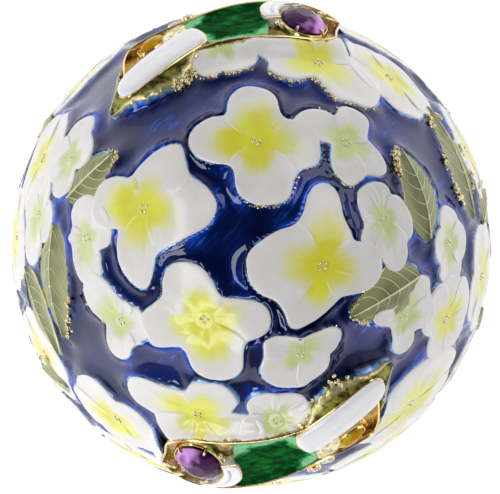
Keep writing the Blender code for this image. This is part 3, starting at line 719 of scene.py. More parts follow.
# Great flowers: azimuth and polar angle of the middle, bearings of the notches between the petals, and
# the reach in millimetres every 15 degrees. Bearings start straight down the egg.
yellow_flowers = [
    (87, 14, (45, 138, 232, 317), [
        8.2, 8.4, 7.1, 5.3, 6.5, 7.6, 7.9, 7.1, 5.6, 4.3, 4.5, 6.4,
        7.4, 7.7, 7.7, 6.3, 6.1, 7.5, 7.4, 7.5, 7.0, 4.9, 5.2, 7.3,
    ]),
    (166, 17, (45, 132, 226, 310), [
        8.0, 7.9, 6.6, 4.2, 5.3, 7.1, 8.6, 9.2, 5.9, 5.3, 5.7, 6.6,
        8.2, 8.8, 7.8, 6.7, 7.2, 8.5, 7.5, 6.0, 4.9, 4.5, 6.2, 7.7,
    ]),
    (-24, 11.5, (62, 147, 246, 325), [
        6.9, 7.9, 7.9, 7.1, 5.0, 5.4, 6.4, 9.3, 9.2, 6.5, 5.8, 6.5,
        7.5, 8.7, 8.7, 7.9, 6.6, 6.8, 8.0, 6.7, 5.4, 4.6, 4.4, 5.3,
    ]),
    (-119, 14.5, (88, 172, 275, 352), [
        5.0, 7.1, 8.0, 8.4, 7.8, 6.1, 5.5, 7.1, 7.6, 7.0, 5.0, 3.8,
        3.7, 4.7, 6.1, 6.9, 7.3, 6.6, 5.6, 6.4, 8.0, 8.0, 7.8, 5.1,
    ]),
    (-107, 34, (50, 120, 210, 302, 350), [
        6.5, 6.8, 7.0, 7.4, 7.6, 8.0, 8.2, 7.6, 4.4, 5.6, 6.2, 6.4,
        5.8, 5.5, 4.1, 4.7, 6.0, 8.7, 9.2, 8.3, 6.0, 6.4, 5.9, 5.7,
    ]),
    (69, 36, (30, 103, 180, 313), [
        5.5, 5.5, 5.8, 6.0, 6.5, 7.5, 8.5, 7.8, 6.4, 6.8, 6.4, 5.2,
        3.6, 4.3, 6.3, 7.0, 8.4, 8.5, 8.2, 7.1, 6.0, 5.0, 5.8, 6.0,
    ]),
]
lime_flowers = [
    (45, 21.5, (60, 155, 250, 328), [
        5.0, 5.3, 5.3, 4.9, 3.6, 4.6, 5.6, 6.3, 6.5, 5.0, 2.4, 2.4,
        3.2, 4.3, 5.1, 5.6, 5.0, 4.6, 5.5, 6.0, 4.9, 3.7, 3.1, 3.7,
    ]),
    (8, 21.5, (55, 112, 180, 248, 315), [
        4.2, 3.9, 3.8, 3.5, 3.1, 3.9, 4.2, 4.3, 4.4, 4.5, 4.0, 3.4,
        3.2, 3.3, 4.3, 4.2, 4.2, 4.6, 6.0, 6.6, 5.8, 4.4, 4.8, 4.5,
    ]),
    (-67, 20, (60, 157, 248, 345), [
        4.4, 4.3, 4.2, 3.9, 3.6, 4.4, 5.2, 5.0, 3.5, 2.6, 2.1, 2.1,
        2.4, 3.0, 3.9, 4.6, 4.3, 4.3, 5.0, 5.3, 5.3, 5.2, 5.0, 4.9,
    ]),
    (-27, 30.5, (52, 150, 238, 345), [
        4.4, 5.8, 5.6, 5.0, 5.0, 5.6, 5.3, 5.0, 3.0, 2.3, 2.2, 2.3,
        2.8, 4.6, 4.6, 2.8, 2.4, 2.6, 3.0, 4.3, 5.1, 5.2, 4.6, 3.2,
    ]),
    (180, 28.5, (25, 145, 228, 335), [
        3.4, 2.9, 3.1, 3.6, 4.2, 5.2, 5.7, 5.5, 4.8, 3.6, 2.9, 3.9,
        4.2, 4.4, 4.4, 4.5, 4.5, 4.8, 5.1, 5.0, 4.8, 4.2, 3.1, 2.9,
    ]),
    (-147, 26, (85, 195, 235, 345), [
        3.0, 4.0, 5.0, 5.3, 4.6, 3.4, 3.3, 3.6, 3.8, 3.8, 3.8, 3.6,
        3.4, 2.9, 2.9, 2.9, 3.5, 5.0, 6.8, 7.0, 6.3, 5.0, 3.1, 2.5,
    ]),
]
# Lesser flowers: azimuth and polar angle, then each petal's bearing, length and half width; tint nought is
# yellow and one is lime
lesser_flowers = [
    (-127, 52, [(-114, 7.4, 3.8), (150, 6.2, 3.4), (80, 7.6, 3.4), (10, 7.6, 3.8), (-50, 7.6, 3.8)], 0.0),
    (-22, 45, [(-80, 5.2, 3.0), (-10, 6.4, 3.2), (50, 6.6, 3.2), (115, 6.0, 2.9), (172, 6.4, 2.9)], 0.0),
    (-82, 33, [(-160, 4.7, 2.3), (148, 4.6, 2.4), (90, 4.9, 2.5), (20, 4.8, 2.5), (-62, 4.8, 2.5)], 1.0),
    (156, 39, [(-71, 6.0, 2.9), (-142, 4.4, 2.4), (95, 4.8, 2.6), (10, 5.6, 2.8)], 1.0),
    (173, 47, [(-92, 5.0, 3.0), (-20, 5.4, 2.8), (69, 6.4, 3.0), (165, 4.8, 2.4)], 1.0),
    (-1, 39, [(86, 4.6, 2.6), (-165, 3.6, 2.2), (-74, 5.4, 2.8), (5, 4.8, 2.6)], 1.0),
    (99, 35.5, [(136, 4.8, 2.8), (-148, 4.8, 2.7), (-85, 4.8, 2.4), (80, 5.0, 2.4)], 1.0),
]


def add_flower(sheet, reach, notches, tint, casting, shores, columns=petal_columns, face=petal_face):
    """A whole flower, and its foot for the blue enamel."""
    starts = [math.radians(bearing) for bearing in notches]
    ends = starts[1:] + [starts[0] + 2 * math.pi]
    for index, (start, end) in enumerate(zip(starts, ends)):
        strength = (dice.uniform(0.65, 1.0), dice.uniform(0.62, 0.82) - 0.1 * tint)
        level = petal_levels[index % len(petal_levels)] * MM
        add_petal(casting, sheet, reach, start, end, tint, strength, level, columns, face)
    add_eye(casting, sheet, tint, great_eye if reach.mean() > great_flower else small_eye, face)
    add_shore(shores, sheet, np.zeros(2), reach, petal_meniscus, petal_brim)


lid_shores = []
blooms = []
for rows, tint in ((yellow_flowers, 0.0), (lime_flowers, 1.0)):
    for azimuth, polar, notches, reaches in rows:
        blooms.append((Sheet(azimuth, polar), traced_outline(reaches), notches, tint))
for azimuth, polar, petals, tint in lesser_flowers:
    blooms.append((Sheet(azimuth, polar), lobed_outline(petals), notches_between(petals), tint))
for index, (sheet, reach, notches, tint) in enumerate(blooms):
    flower = Casting()
    add_flower(sheet, reach, notches, tint, flower, lid_shores)
    piece = flower.piece(f"tip_flower_{index + 1:02d}", [white, beads])

# Flowers round the sides of the lid: chased and enamelled like those of the tip, but plainer, with five
# nearly equal petals. The small ones near the seam are lime, and each piece is a cluster of five.
full_petal = (7.3, 3.5)
small_petal = (5.2, 2.7)
side_face = 0.85 * MM
side_columns = 32
side_count = 5
# Azimuths of the broad flowers that reach right up to a side mount
broad_flowers = (-45, -56)
broad_share = 1.22
# Azimuth, polar angle, turn, petal length and half width in millimetres
side_flowers = [
    (50, 48, 10, full_petal),
    (158, 55, 30, full_petal),
    (-45, 57, 20, full_petal),
    (-8, 64, 0, full_petal),
    (-152, 65, 25, full_petal),
    (24, 68, 40, full_petal),
    (178, 67, 15, full_petal),
    (135, 70, 0, full_petal),
    (62, 73, 30, full_petal),
    (-28, 77, 30, small_petal),
    (6, 81, 20, small_petal),
    (43, 80, 15, small_petal),
    (-56, 76, 10, full_petal),
    (-84, 77, 35, full_petal),
    (-117, 74, 40, full_petal),
    (-138, 80, 25, small_petal),
    (-166, 81, 0, small_petal),
    (157, 80, 30, small_petal),
    (116, 80, 10, small_petal),
    (93, 77, 25, full_petal),
]


def regular(turn, size):
    """Five nearly equal petals."""
    return [(turn + 72 * index + dice.uniform(-6, 6), size[0] * dice.uniform(0.9, 1.05), size[1])
            for index in range(5)]


for first in range(0, len(side_flowers), side_count):
    group = Casting()
    for azimuth, polar, turn, size in side_flowers[first:first + side_count]:
        tint = float(size is small_petal)
        petals = regular(turn, size)
        reach = lobed_outline(petals) * (broad_share if azimuth in broad_flowers else 1)
        add_flower(Sheet(azimuth, polar), reach, notches_between(petals), tint, group, lid_shores,
                   side_columns, side_face)
    piece = group.piece(f"side_flowers_{first // side_count + 1}", [white, beads])

# Leaves between the flowers: sage enamel laid in a chased leaf, whose midrib and side veins stay bare
# as raised gilt wires. Their saw edge is gilt too, and the two beside the mounts are olive and pitted.
leaf_edge = 0.75 * MM
leaf_crown = 1.15 * MM
leaf_foot = -0.3 * MM
leaf_brim = 0.42 * MM
leaf_meniscus = 0.55 * MM
leaf_margin = 0.06 * MM
leaf_steps = 46
# Rows of a leaf: share of the way from its midrib to its edge, and how far it drops there, in millimetres
leaf_rows = [(0.02, 0), (0.2, 0), (0.4, 0), (0.6, 0), (0.8, 0), (0.92, 0), (0.98, 0.03), (1.0, 0.12),
             (1.01, 0.4), (1.04, 1.5)]
leaf_crease = 50
mount_leaf_rise = 0.5 * MM
saw_teeth = 9
saw_depth = 0.09
vein_pairs = 5
vein_steps = 12
vein_wire = 0.07 * MM
midrib_wire = 0.15 * MM
edge_wire = 0.26 * MM
# Azimuth and polar angle of a leaf's stem and of its tip, and its half width in millimetres
leaves = [
    ((-1, 32), (32, 30.5), 3.3),
    ((6, 52), (38, 51), 4.0),
    ((168, 35), (148, 27), 2.7),
    ((175, 38), (-152, 44), 3.8),
    ((-174, 54), (-149, 51), 3.2),
    ((-12, 30.5), (-39, 20), 3.2),
    ((-74, 39), (-41, 34), 4.4),
    ((106, 39), (139, 34), 4.4),
    ((5, 60), (14, 78), 3.0),
    ((-20, 84), (-15, 73), 2.4),
    ((-142, 60), (-150, 78), 3.0),
    ((147, 66), (150, 86), 3.0),
]
# The leaves that lie against the two side mounts
mount_leaves = (6, 7)
# How far a leaf's midrib bows aside, in millimetres
leaf_bows = {0: -0.8, 1: -0.6, 3: -0.9}
# The leaf whose edge is a thick wire
wired_leaf = 4


class Leaf:
    """A leaf drawn on its sheet, from its stem to its tip."""

    def __init__(self, stem, tip, half, bow=0.0):
        self.sheet = Sheet(*stem)
        end = self.sheet.drawn(*tip)
        self.length = np.linalg.norm(end)
        self.along = end / self.length
        self.aside = np.array([-self.along[1], self.along[0]])
        self.half = half * MM
        self.bow = bow * MM

    def width(self, share):
        """Half width at a share of the leaf's length."""
        return self.half * np.sin(np.pi * np.clip(share, 0, 1) ** 0.8) ** 0.8

    def drawn(self, share, out):
        """Drawn points at shares of the leaf's length and distances to one side of its midrib."""
        out = out + self.bow * np.sin(np.pi * share)
        return np.multiply.outer(share * self.length, self.along) + np.multiply.outer(out, self.aside)


def leaf_height(side):
    """Height of the leaf's face, from its midrib (nought) to its edge (one)."""
    return leaf_edge + (leaf_crown - leaf_edge) * (1 - np.abs(side)) ** 1.4


def add_leaf(casting, shores, wires, leaf, olive=0.0):
    """The leaf's enamelled face, the gilt wires on it, and its foot for the blue enamel."""
    sheet = leaf.sheet
    raised = mount_leaf_rise * olive
    shares = np.concatenate([np.linspace(0.015, 0.985, leaf_steps), np.linspace(0.985, 0.015, leaf_steps)])
    sides = np.repeat([1.0, -1.0], leaf_steps)
    edge = leaf.width(shares) * (1 - saw_depth * ((shares * saw_teeth) % 1.0)) + leaf_margin
    loops = []
    leaf_place = []
    for share, drop in leaf_rows:
        height = leaf_height(min(share, 1.0)) - min(drop * MM, leaf_height(1.0) - leaf_foot) + raised
        loops.append(sheet.lay(leaf.drawn(shares, edge * sides * share), height))
        leaf_place.append(np.stack([shares, sides * share, 0 * shares], axis=1))
    casting.loft(loops, leaf_place=leaf_place, olive=olive)
    middle = leaf.drawn(0.5, 0.0)
    outline = leaf.drawn(shares, edge * sides) - middle
    bearings = np.arctan2(outline[:, 1], outline[:, 0])
    order = np.argsort(bearings)
    reach = np.linalg.norm(outline, axis=1)
    reach = np.interp(outline_bearings, bearings[order], reach[order], period=2 * np.pi)
    add_shore(shores, sheet, middle, reach, leaf_meniscus, leaf_brim)
    steps = np.linspace(0, 1, vein_steps)
    midrib = leaf.drawn(0.03 + 0.94 * steps, 0 * steps)
    add_wire(wires, sheet, midrib, leaf_height(0) + raised, midrib_wire * (1 - 0.5 * steps))
    for index in range(0 if olive else vein_pairs):
        share = 0.06 + 0.74 * index / vein_pairs + (0.14 + 0.10 * steps) * steps**1.3
        for side in (1, -1):
            out = 0.95 * steps * side
            add_wire(wires, sheet, leaf.drawn(share, leaf.width(share) * out), leaf_height(out) + raised,
                     vein_wire * (1 - 0.4 * steps))


def add_wire(casting, sheet, drawn, height, thick):
    """Half-sunk round wire along drawn points."""
    run = np.gradient(drawn, axis=0)
    run /= np.linalg.norm(run, axis=1, keepdims=True)
    cross = np.stack([-run[:, 1], run[:, 0]], axis=1)
    thick = np.broadcast_to(thick, len(drawn))
    loops = []
    for turn in np.radians([-150, -90, -45, 0, 45, 90, 150]):
        out = drawn + cross * (thick * np.sin(turn))[:, None]
        loops.append(sheet.lay(out, height + thick * np.cos(turn)))
    casting.loft(np.array(loops).transpose(1, 0, 2))


def sage_enamel():
    """Sage green enamel, darker towards the stem; olive and pitted over rough gilding beside the mounts."""
    finish = Finish("sage_enamel", roughness=0.36, specular_ior_level=0.2, coat_weight=0.3,
                    coat_roughness=0.06, coat_ior=1.5)
    dark_sage, light_sage, stem_sage = (0.18, 0.20, 0.08), (0.30, 0.32, 0.15), (0.13, 0.16, 0.07)
    pale_sage, edge_gold = (0.44, 0.44, 0.20), (0.62, 0.52, 0.20)
    dark_olive, light_olive, mount_gold = (0.035, 0.032, 0.004), (0.34, 0.32, 0.06), (0.80, 0.70, 0.34)
    place = finish.attribute("leaf_place", "Vector")
    parts = finish.node("SeparateXYZ")
    finish.wire(place, parts.inputs[0])
    side = finish.math("ABSOLUTE", parts.outputs[1])
    clouds = finish.noise(350, 3)
    pits = finish.noise(900, 4, 0.65)
    sage = finish.blend(finish.step(clouds, 0.3, 0.7), dark_sage, light_sage)
    sage = finish.blend(finish.step(parts.outputs[0], 0.0, 0.5, 0.5, 0.0), sage, stem_sage)
    sage = finish.blend(finish.step(side, 0.3, 0.85, 0.0, 0.6), sage, pale_sage)
    edge = finish.math("MULTIPLY", finish.step(side, 0.84, 0.98), 0.85)
    sage = finish.blend(edge, sage, edge_gold)
    olive = finish.blend(finish.step(pits, 0.38, 0.62), dark_olive, light_olive)
    olive = finish.blend(edge, olive, mount_gold)
    mount_side = finish.attribute("olive")
    finish.colour(finish.blend(mount_side, sage, olive))
    metal = finish.math("MULTIPLY", mount_side, 0.55)
    metal = finish.math("MAXIMUM", finish.step(side, 0.90, 0.98, 0.0, 0.8), metal)
    finish.wire(metal, finish.shader.inputs["Metallic"])
    rough = finish.math("MULTIPLY", mount_side, pits)
    rough = finish.math("ADD", rough, finish.math("MULTIPLY", clouds, 0.25))
    finish.relief(rough, 0.25 * MM, 0.6)
    return finish.material


def vein_gilding():
    """Pale soft gilding of the thin wires."""
    finish = Finish("vein_gilding", metallic=0.6, roughness=0.4)
    dull_gold, pale_gold = (0.58, 0.52, 0.26), (0.86, 0.82, 0.52)
    finish.colour(finish.blend(finish.noise(900, 3), dull_gold, pale_gold))
    return finish.material


sage = sage_enamel()
vein_gilt = vein_gilding()
leaf_group = Casting()
veins = Casting()
drawn_leaves = [Leaf(*row, leaf_bows.get(index, 0.0)) for index, row in enumerate(leaves)]
for index, leaf in enumerate(drawn_leaves):
    add_leaf(leaf_group, lid_shores, veins, leaf, float(index in mount_leaves))
leaf = drawn_leaves[wired_leaf]
share = np.linspace(0.1, 0.97, 20)
add_wire(veins, leaf.sheet, leaf.drawn(share, leaf.width(share)), leaf_edge, edge_wire)
piece = leaf_group.piece("lid_leaves", [sage], crease=leaf_crease)
piece = veins.piece("lid_leaf_veins", [vein_gilt])

# Gilt crust: where the enamels stop short, the cast metal shows as rough gilt crumbs along the foot
# of some petals and along the leaves' saw edges, coarser beside the mounts.
# Rows of a crumb: place along its axis, and girth, in shares of its size
crumb_rows = ((-0.8, 0.5), (-0.1, 1.0), (0.5, 0.8), (0.9, 0.3))
crumb_crease = 30
# Crusted stretches of the flowers: flower, first and last bearing in degrees, rows of crumbs
crusted = [
    (0, 160, 232, 3),
    (0, 240, 258, 1),
    (1, 155, 190, 1),
    (5, 135, 250, 5),
    (18, 140, 225, 5),
    (6, 45, 85, 2),
    (6, 195, 235, 2),
    (8, 95, 120, 1),
    (11, 295, 340, 2),
    (4, 225, 255, 1),
    (13, 150, 200, 1),
]
# Crusted leaves: leaf, side (one or minus one), first and last share of its length, number of crumbs
crusted_leaves = [
    (0, 1, 0.60, 0.95, 90),
    (0, 1, 0.92, 1.0, 30),
    (1, 1, 0.15, 0.9, 90),
    (1, -1, 0.15, 0.9, 60),
    (2, -1, 0.72, 1.0, 40),
    (2, 1, 0.85, 1.0, 16),
    (3, 1, 0.58, 0.96, 80),
    (5, 1, 0.82, 1.0, 22),
    (5, -1, 0.78, 1.0, 22),
    (6, 1, 0.05, 0.97, 60),
    (7, 1, 0.05, 0.97, 80),
    (8, 1, 0.1, 0.9, 50),
    (10, -1, 0.1, 0.9, 50),
    (11, 1, 0.1, 0.9, 50),
]
# Leaves with coarse crumbs, and the least and greatest size of a coarse and of a fine crumb in millimetres
coarse_leaves = mount_leaves + (0, 1)
coarse_grain = (0.22, 0.42)
fine_grain = (0.13, 0.34)


def add_crumb(casting, sheet, drawn, height, size):
    """A small angular crumb of gilt metal."""
    centre = sheet.lay(np.array([drawn]), height)[0]
    sides = dice.choice((5, 6))
    axis = np.array([dice.gauss(0, 1) for _ in range(3)])
    axis /= np.linalg.norm(axis)
    side = np.cross(axis, (0.31, 0.52, 0.79))
    side /= np.linalg.norm(side)
    other = np.cross(axis, side)
    loops = []
    for level, girth in crumb_rows:
        ring = []
        for index in range(sides):
            turn = 2 * math.pi * index / sides
            out = girth * dice.uniform(0.7, 1.2)
            ring.append(centre + size * (axis * (level + dice.uniform(-0.15, 0.15))
                                         + out * (side * math.cos(turn) + other * math.sin(turn))))
        loops.append(ring)
    casting.loft(loops)


def rough_gilding():
    """Pale rough gilding, pitted and bright on its grains."""
    finish = Finish("rough_gilding", metallic=1.0, roughness=0.24)
    pit_gold, grain_gold = (0.50, 0.38, 0.12), (0.96, 0.88, 0.58)
    grains = finish.noise(1300, 4, 0.7)
    finish.colour(finish.blend(finish.step(grains, 0.35, 0.6), pit_gold, grain_gold))
    finish.relief(grains, 0.3 * MM, 1.0)
    return finish.material


rough_gilt = rough_gilding()
crust = Casting()
for which, first, last, rows in crusted:
    sheet, reach, _, _ = blooms[which]
    for _ in range(rows * (last - first) * 2 // 3):
        turn = math.radians(dice.uniform(first, last))
        place = int(round(math.degrees(turn) * outline_steps / 360)) % outline_steps
        far = reach[place] + dice.uniform(-0.05, 0.14 + 0.07 * rows) * MM
        add_crumb(crust, sheet, (far * math.cos(turn), far * math.sin(turn)), dice.uniform(0.45, 0.85) * MM,
                  dice.uniform(0.07, 0.15 + 0.02 * rows) * MM)
for which, side, first, last, crumbs in crusted_leaves:
    leaf = drawn_leaves[which]
    grain = coarse_grain if which in coarse_leaves else fine_grain
    clumps = [dice.uniform(first, last) for _ in range(4)]
    for _ in range(crumbs):
        share = min(max(dice.gauss(dice.choice(clumps), 0.045), first), last)
        out = side * (leaf.width(share) + dice.triangular(-0.25, 0.75, 0.05) * MM)
        add_crumb(crust, leaf.sheet, leaf.drawn(share, out), dice.uniform(0.35, 0.95) * MM,
                  dice.uniform(*grain) * MM)
piece = crust.piece("gilt_crust", [rough_gilt], crease=crumb_crease)

# Blue enamel of the lid: clear cobalt enamel that floods the ground between the ornaments. It was drawn up
# their feet while liquid, so it lies hollow in the narrow channels and thins out against the petals.
# The fillet at a foot: how far out it reaches, its rows in shares of that, and how pale each row is
meniscus = 0.5 * MM
meniscus_shares = [0.03, 0.1, 0.2, 0.32, 0.46, 0.62, 0.8, 1.0]
meniscus_fringe = [1.0, 1.0] + [1 - 0.15 * share for share in meniscus_shares] + [0.85, 1.0]
# The flood: how high and how far it is drawn up, how thin it lies, its underside, its points and its ripples
flood_rise = 0.86 * MM
flood_reach = 1.15 * MM
flood_least = 0.02 * MM
flood_foot = -0.3 * MM
flood_climb = 4
flood_columns = 360
flood_under = 8
flood_waves = 9
# Polar angles from which and to which the flood reaches, and its rows
lid_flood = (0.3, 93, 140)


def widened(reach, by):
    """The outline moved outwards by an even distance, as liquid enamel lies along it."""
    turn = outline_bearings[:, None] - outline_bearings[None, :]
    aside = reach[None, :] * np.sin(turn)
    ahead = reach[None, :] * np.cos(turn) + np.sqrt(np.clip(by**2 - aside**2, 0, None))
    return np.where((np.abs(aside) <= by) & (np.cos(turn) > 0), ahead, 0).max(1)


def uneven(share):
    """Smooth random share either side of one, all round a form."""
    waves = 0
    for count in (2, 3, 5, 8):
        waves = waves + math.pow(count, -0.5) * np.sin(count * outline_bearings + dice.uniform(0, 6))
    return 1 + share * waves / 1.5


def pooled(away):
    """Height of the blue enamel at a distance from one ornament, as the liquid was drawn up its foot."""
    climb = np.exp(-(np.maximum(away, 0) / flood_reach) ** 1.2)
    return flood_rise * climb * smooth(away, -0.9 * MM, -0.1 * MM)


def kept_under(shores, ways, height, own=None):
    """Heights kept low enough that no enamel shows through an ornament, and the flood's own height."""
    height = np.array(height)
    drawn_up = np.zeros(ways.shape[:-1])
    for index, (sheet, outline, span, _, _, _, edge) in enumerate(shores):
        near = ways @ sheet.out > span
        if index == own or not near.any():
            continue
        away = outside(sheet.flatten(ways[near]), outline)
        height[near] = np.minimum(height[near], edge + flood_climb * np.maximum(away, 0))
        drawn_up[near] += pooled(away) ** 4
    return height, drawn_up ** 0.25


def add_fillets(casting, shores):
    """The steep rings of enamel right at the ornaments' feet, uneven as they ran."""
    for index, (sheet, _, _, middle, reach, rise, _) in enumerate(shores):
        top = rise * (1 - 0.2 * uneven(0.8))
        rows = [(reach - 0.35 * MM, top), (reach - 0.05 * MM, top)]
        for share in meniscus_shares:
            pool = pooled(share * meniscus)
            rows.append((widened(reach, share * meniscus),
                         pool - flood_least + np.maximum(top - pool, 0) * (1 - share) ** 2.4))
        rows += [(rows[-1][0], flood_foot), (rows[0][0], flood_foot)]
        drawn = np.array([middle + outline_rays * out[:, None] for out, _ in rows])
        height = np.array([np.broadcast_to(height, outline_steps) for _, height in rows])
        height, _ = kept_under(shores, sheet.ways(drawn), height, index)
        casting.loft(sheet.lay(drawn, height)[:, ::2], ring=True, fringe=np.array(meniscus_fringe)[:, None])


def add_flood(casting, shores, first, last, rows):
    """Closed sheet of enamel over the ground, from one polar angle to another."""
    polars = np.radians(np.linspace(first, last, rows))
    turns = np.linspace(0, 2 * np.pi, flood_columns, endpoint=False)
    ways = np.stack([
        np.sin(polars)[:, None] * np.cos(turns),
        np.sin(polars)[:, None] * np.sin(turns),
        np.broadcast_to(np.cos(polars)[:, None], (rows, flood_columns)),
    ], axis=-1)
    ripple = np.zeros((rows, flood_columns))
    for _ in range(flood_waves):
        wave = np.array([dice.gauss(0, 1) for _ in range(3)])
        ripple += np.sin(ways @ wave * dice.uniform(7, 15) + dice.uniform(0, 6))
    limit, pool = kept_under(shores, ways, np.full((rows, flood_columns), MM))
    height = np.minimum(limit, pool * (1 + 0.04 * ripple) + flood_least * (ripple + 7))
    fringe = np.clip(pool / flood_rise, 0, 1) * 0.85
    under = np.linspace(rows - 1, 0, flood_under).astype(int)
    loops = np.concatenate([egg_points(ways, height), egg_points(ways[under], flood_foot)])
    casting.loft(loops, fringe=np.concatenate([fringe, fringe[under]]))


flood = Casting()
add_fillets(flood, lid_shores)
add_flood(flood, lid_shores, *lid_flood)
piece = flood.piece("lid_blue_enamel", [blue])

# Base of the box: a cup of the same enamelled casting with its own gilt band, a lip that the lid
# slides over, and a gilt inside.
base_steps = 36
lip_depth = 3 * MM
lip_wall = 1.0 * MM
lip_clearance = 0.3 * MM
lower_seam = -seam_drop - fit_gap / 2
lip_outer = bore - lip_clearance
lip_inner = lip_outer - lip_wall
lip_top = -seam_drop + lip_rise
lip_foot = lower_seam - lip_depth
cup_inside = [(lip_outer, lower_seam), (lip_outer, lip_top), (lip_inner, lip_top), (lip_inner, lip_foot)]
cup_inside += ground_profile(lip_foot - lip_wall, -drop_below, wall, hollow_steps)
base_ground = ground_profile(lower_seam - band_height, -drop_below, 0, base_steps)
piece = cast_shell("base_shell", base_ground, band_profile(lower_seam, -1), cup_inside)
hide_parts("base")

# Flowers of the base: two rows of nine, chased and enamelled like those of the lid's sides. The upper row
# is yellow and large, the lower one is lime and small.
base_row_count = 9
base_turn = 35
# Polar angle, azimuth of the first flower, petal size and tint
base_rows = [
    (117, 8, full_petal, 0.0),
    (137, 28, small_petal, 1.0),
]
base_shores = []
for polar, first, size, tint in base_rows:
    group = Casting()
    for index in range(base_row_count):
        azimuth = first + 360 * index / base_row_count
        petals = regular(base_turn * index, size)
        add_flower(Sheet(azimuth, polar), lobed_outline(petals), notches_between(petals), tint, group,
                   base_shores, side_columns, side_face)
    piece = group.piece(f"base_flowers_{polar}", [white, beads])

# Leaves of the base: nine sage leaves in a ring near the foot, chased and enamelled like the lid's, that
# lean by turns to one side and to the other.
base_leaf_polar = 142
base_leaf_first = 8
base_leaf_half = 2.8
base_leaf_length = 9 * MM
base_leaf_lean = (0.25, 0.425)
lower_leaves = Casting()
lower_veins = Casting()
for index in range(base_row_count):
    lean = 1 if index % 2 else -1
    sheet = Sheet(base_leaf_first + 360 * index / base_row_count, base_leaf_polar)
    ends = []
    for side in (-1, 1):
        down, across = (side * share * base_leaf_length for share in base_leaf_lean)
        way = sheet.out * sheet.reach + sheet.down * down + sheet.across * lean * across
        way /= np.linalg.norm(way)
        ends.append((math.degrees(math.atan2(way[1], way[0])), math.degrees(math.acos(way[2]))))
    add_leaf(lower_leaves, base_shores, lower_veins, Leaf(ends[0], ends[1], base_leaf_half))
piece = lower_leaves.piece("base_leaves", [sage], crease=leaf_crease)
piece = lower_veins.piece("base_leaf_veins", [gilt])

# Blue enamel of the base: the same clear cobalt enamel round the lower flowers and leaves. It stops above
# the foot, where the ground is covered.
base_flood = (102.5, 160, 72)
flood = Casting()
add_fillets(flood, base_shores)
add_flood(flood, base_shores, *base_flood)
piece = flood.piece("base_blue_enamel", [blue])

# Foot: a turned gilt disc on which the egg stands, with a rounded rim, a waist, and a shallow cup that
# follows the egg. It is screwed on from below.
foot_middle = 3 * MM
foot_radius = 17 * MM
foot_bevel = 0.25 * MM
foot_rim = 1.6 * MM
foot_rim_bevel = 0.3 * MM
foot_round = (1.4 * MM, 0.7 * MM)
waist_radius = 9.5 * MM
waist_share = 0.6
waist_steps = 8
neck_steps = 5
cup_radius = 12 * MM
cup_edge = 0.8 * MM
cup_draft = 0.6 * MM
cup_break = 0.1 * MM
foot_crease = 35


def cup_level(radius):
    """Height of the cup over the table at a radius, just clear of the egg."""
    return egg_level - fit_gap - drop_below * math.sqrt(1 - (radius / half_width) ** 2)


cup_top = cup_level(cup_radius)
waist_top = waist_share * cup_top
shoulder_radius = foot_radius - foot_round[0]
shoulder_top = foot_rim + foot_round[1]
profile = [(foot_middle, 0.0), (foot_radius - foot_bevel, 0.0), (foot_radius, foot_bevel),
           (foot_radius, foot_rim - foot_rim_bevel), (foot_radius - foot_rim_bevel, foot_rim),
           (shoulder_radius, shoulder_top)]
for step in range(1, waist_steps + 1):
    share = step / waist_steps
    profile.append((shoulder_radius - (shoulder_radius - waist_radius) * share ** 0.8,
                    shoulder_top + (waist_top - shoulder_top) * share ** 2.2))
for step in range(1, neck_steps + 1):
    share = step / neck_steps
    profile.append((waist_radius + (cup_radius - cup_draft - waist_radius) * share ** 1.6,
                    waist_top + (cup_top - cup_edge - waist_top) * share))
profile += [(cup_radius - cup_break, cup_top - 0.3 * MM), (cup_radius - cup_break, cup_top - 0.05 * MM)]
profile += [(cup_radius * share, cup_level(cup_radius * share)) for share in (0.9, 0.7, 0.5, 0.25)]
foot = Casting()
foot.loft(turned([(radius, level - egg_level) for radius, level in profile]))
piece = foot.piece("foot_turned", [gilt], crease=foot_crease)
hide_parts("foot")

# Trays of the side mounts: one on each shoulder, cast in gilt metal with its rim and soldered over the
# flowers. Collars and claws rise from the honey coloured floor to hold the stones, fine wires edge the white
# pieces, and two beads, two bars and a rough block are cast on.
mount_middle = np.array([-3.6, 0.6]) * MM
mount_rim = 0.30 * MM
mount_rim_top = 2.4 * MM
mount_crease = 40
tray_floor = 1.15 * MM
# Rows of a tray, from beneath it over the rim to the floor: how far it is grown, share of the way out, height
tray_rows = [
    (0, 0.2, 0.3 * MM), (0, 0.6, 0.3 * MM), (0, 0.97, 0.3 * MM), (0, 1, 0.4 * MM), (0, 1, 2.2 * MM),
    (-0.05 * MM, 1, 2.34 * MM), (-0.14 * MM, 1, mount_rim_top), (-mount_rim + 0.12 * MM, 1, mount_rim_top),
    (-mount_rim, 1, 2.28 * MM), (-mount_rim, 1, tray_floor), (-mount_rim, 0.85, tray_floor),
    (-mount_rim, 0.6, tray_floor), (-mount_rim, 0.3, tray_floor),
]
tray_slots = [0] * 9 + [1] * 3
rough_slot = 2

# Places and half sizes of the stones, and rows of their collars: how far out from the stone, and height
amethyst_at = np.array([-1.3, -8.9]) * MM
amethyst_half = np.array([4.7, 2.8]) * MM
citrine_at = np.array([-3.8, 9.0]) * MM
citrine_half = np.array([1.1, 2.0]) * MM
citrine_turn = 40
crystal_spots = {"upper": np.array([0.4, 6.3]) * MM, "lower": np.array([2.5, 4.7]) * MM}
crystal_half = np.array([0.6, 0.6]) * MM
collar_rows = [
    (0.08 * MM, tray_floor), (0.08 * MM, 1.85 * MM), (0.14 * MM, 1.95 * MM), (0.26 * MM, 1.95 * MM),
    (0.38 * MM, 1.75 * MM), (0.42 * MM, tray_floor),
]
crystal_collar_rows = [
    (0.08 * MM, 0.0), (0.08 * MM, 2.0 * MM), (0.13 * MM, 2.1 * MM), (0.22 * MM, 2.1 * MM),
    (0.28 * MM, 1.95 * MM), (0.3 * MM, 0.0),
]
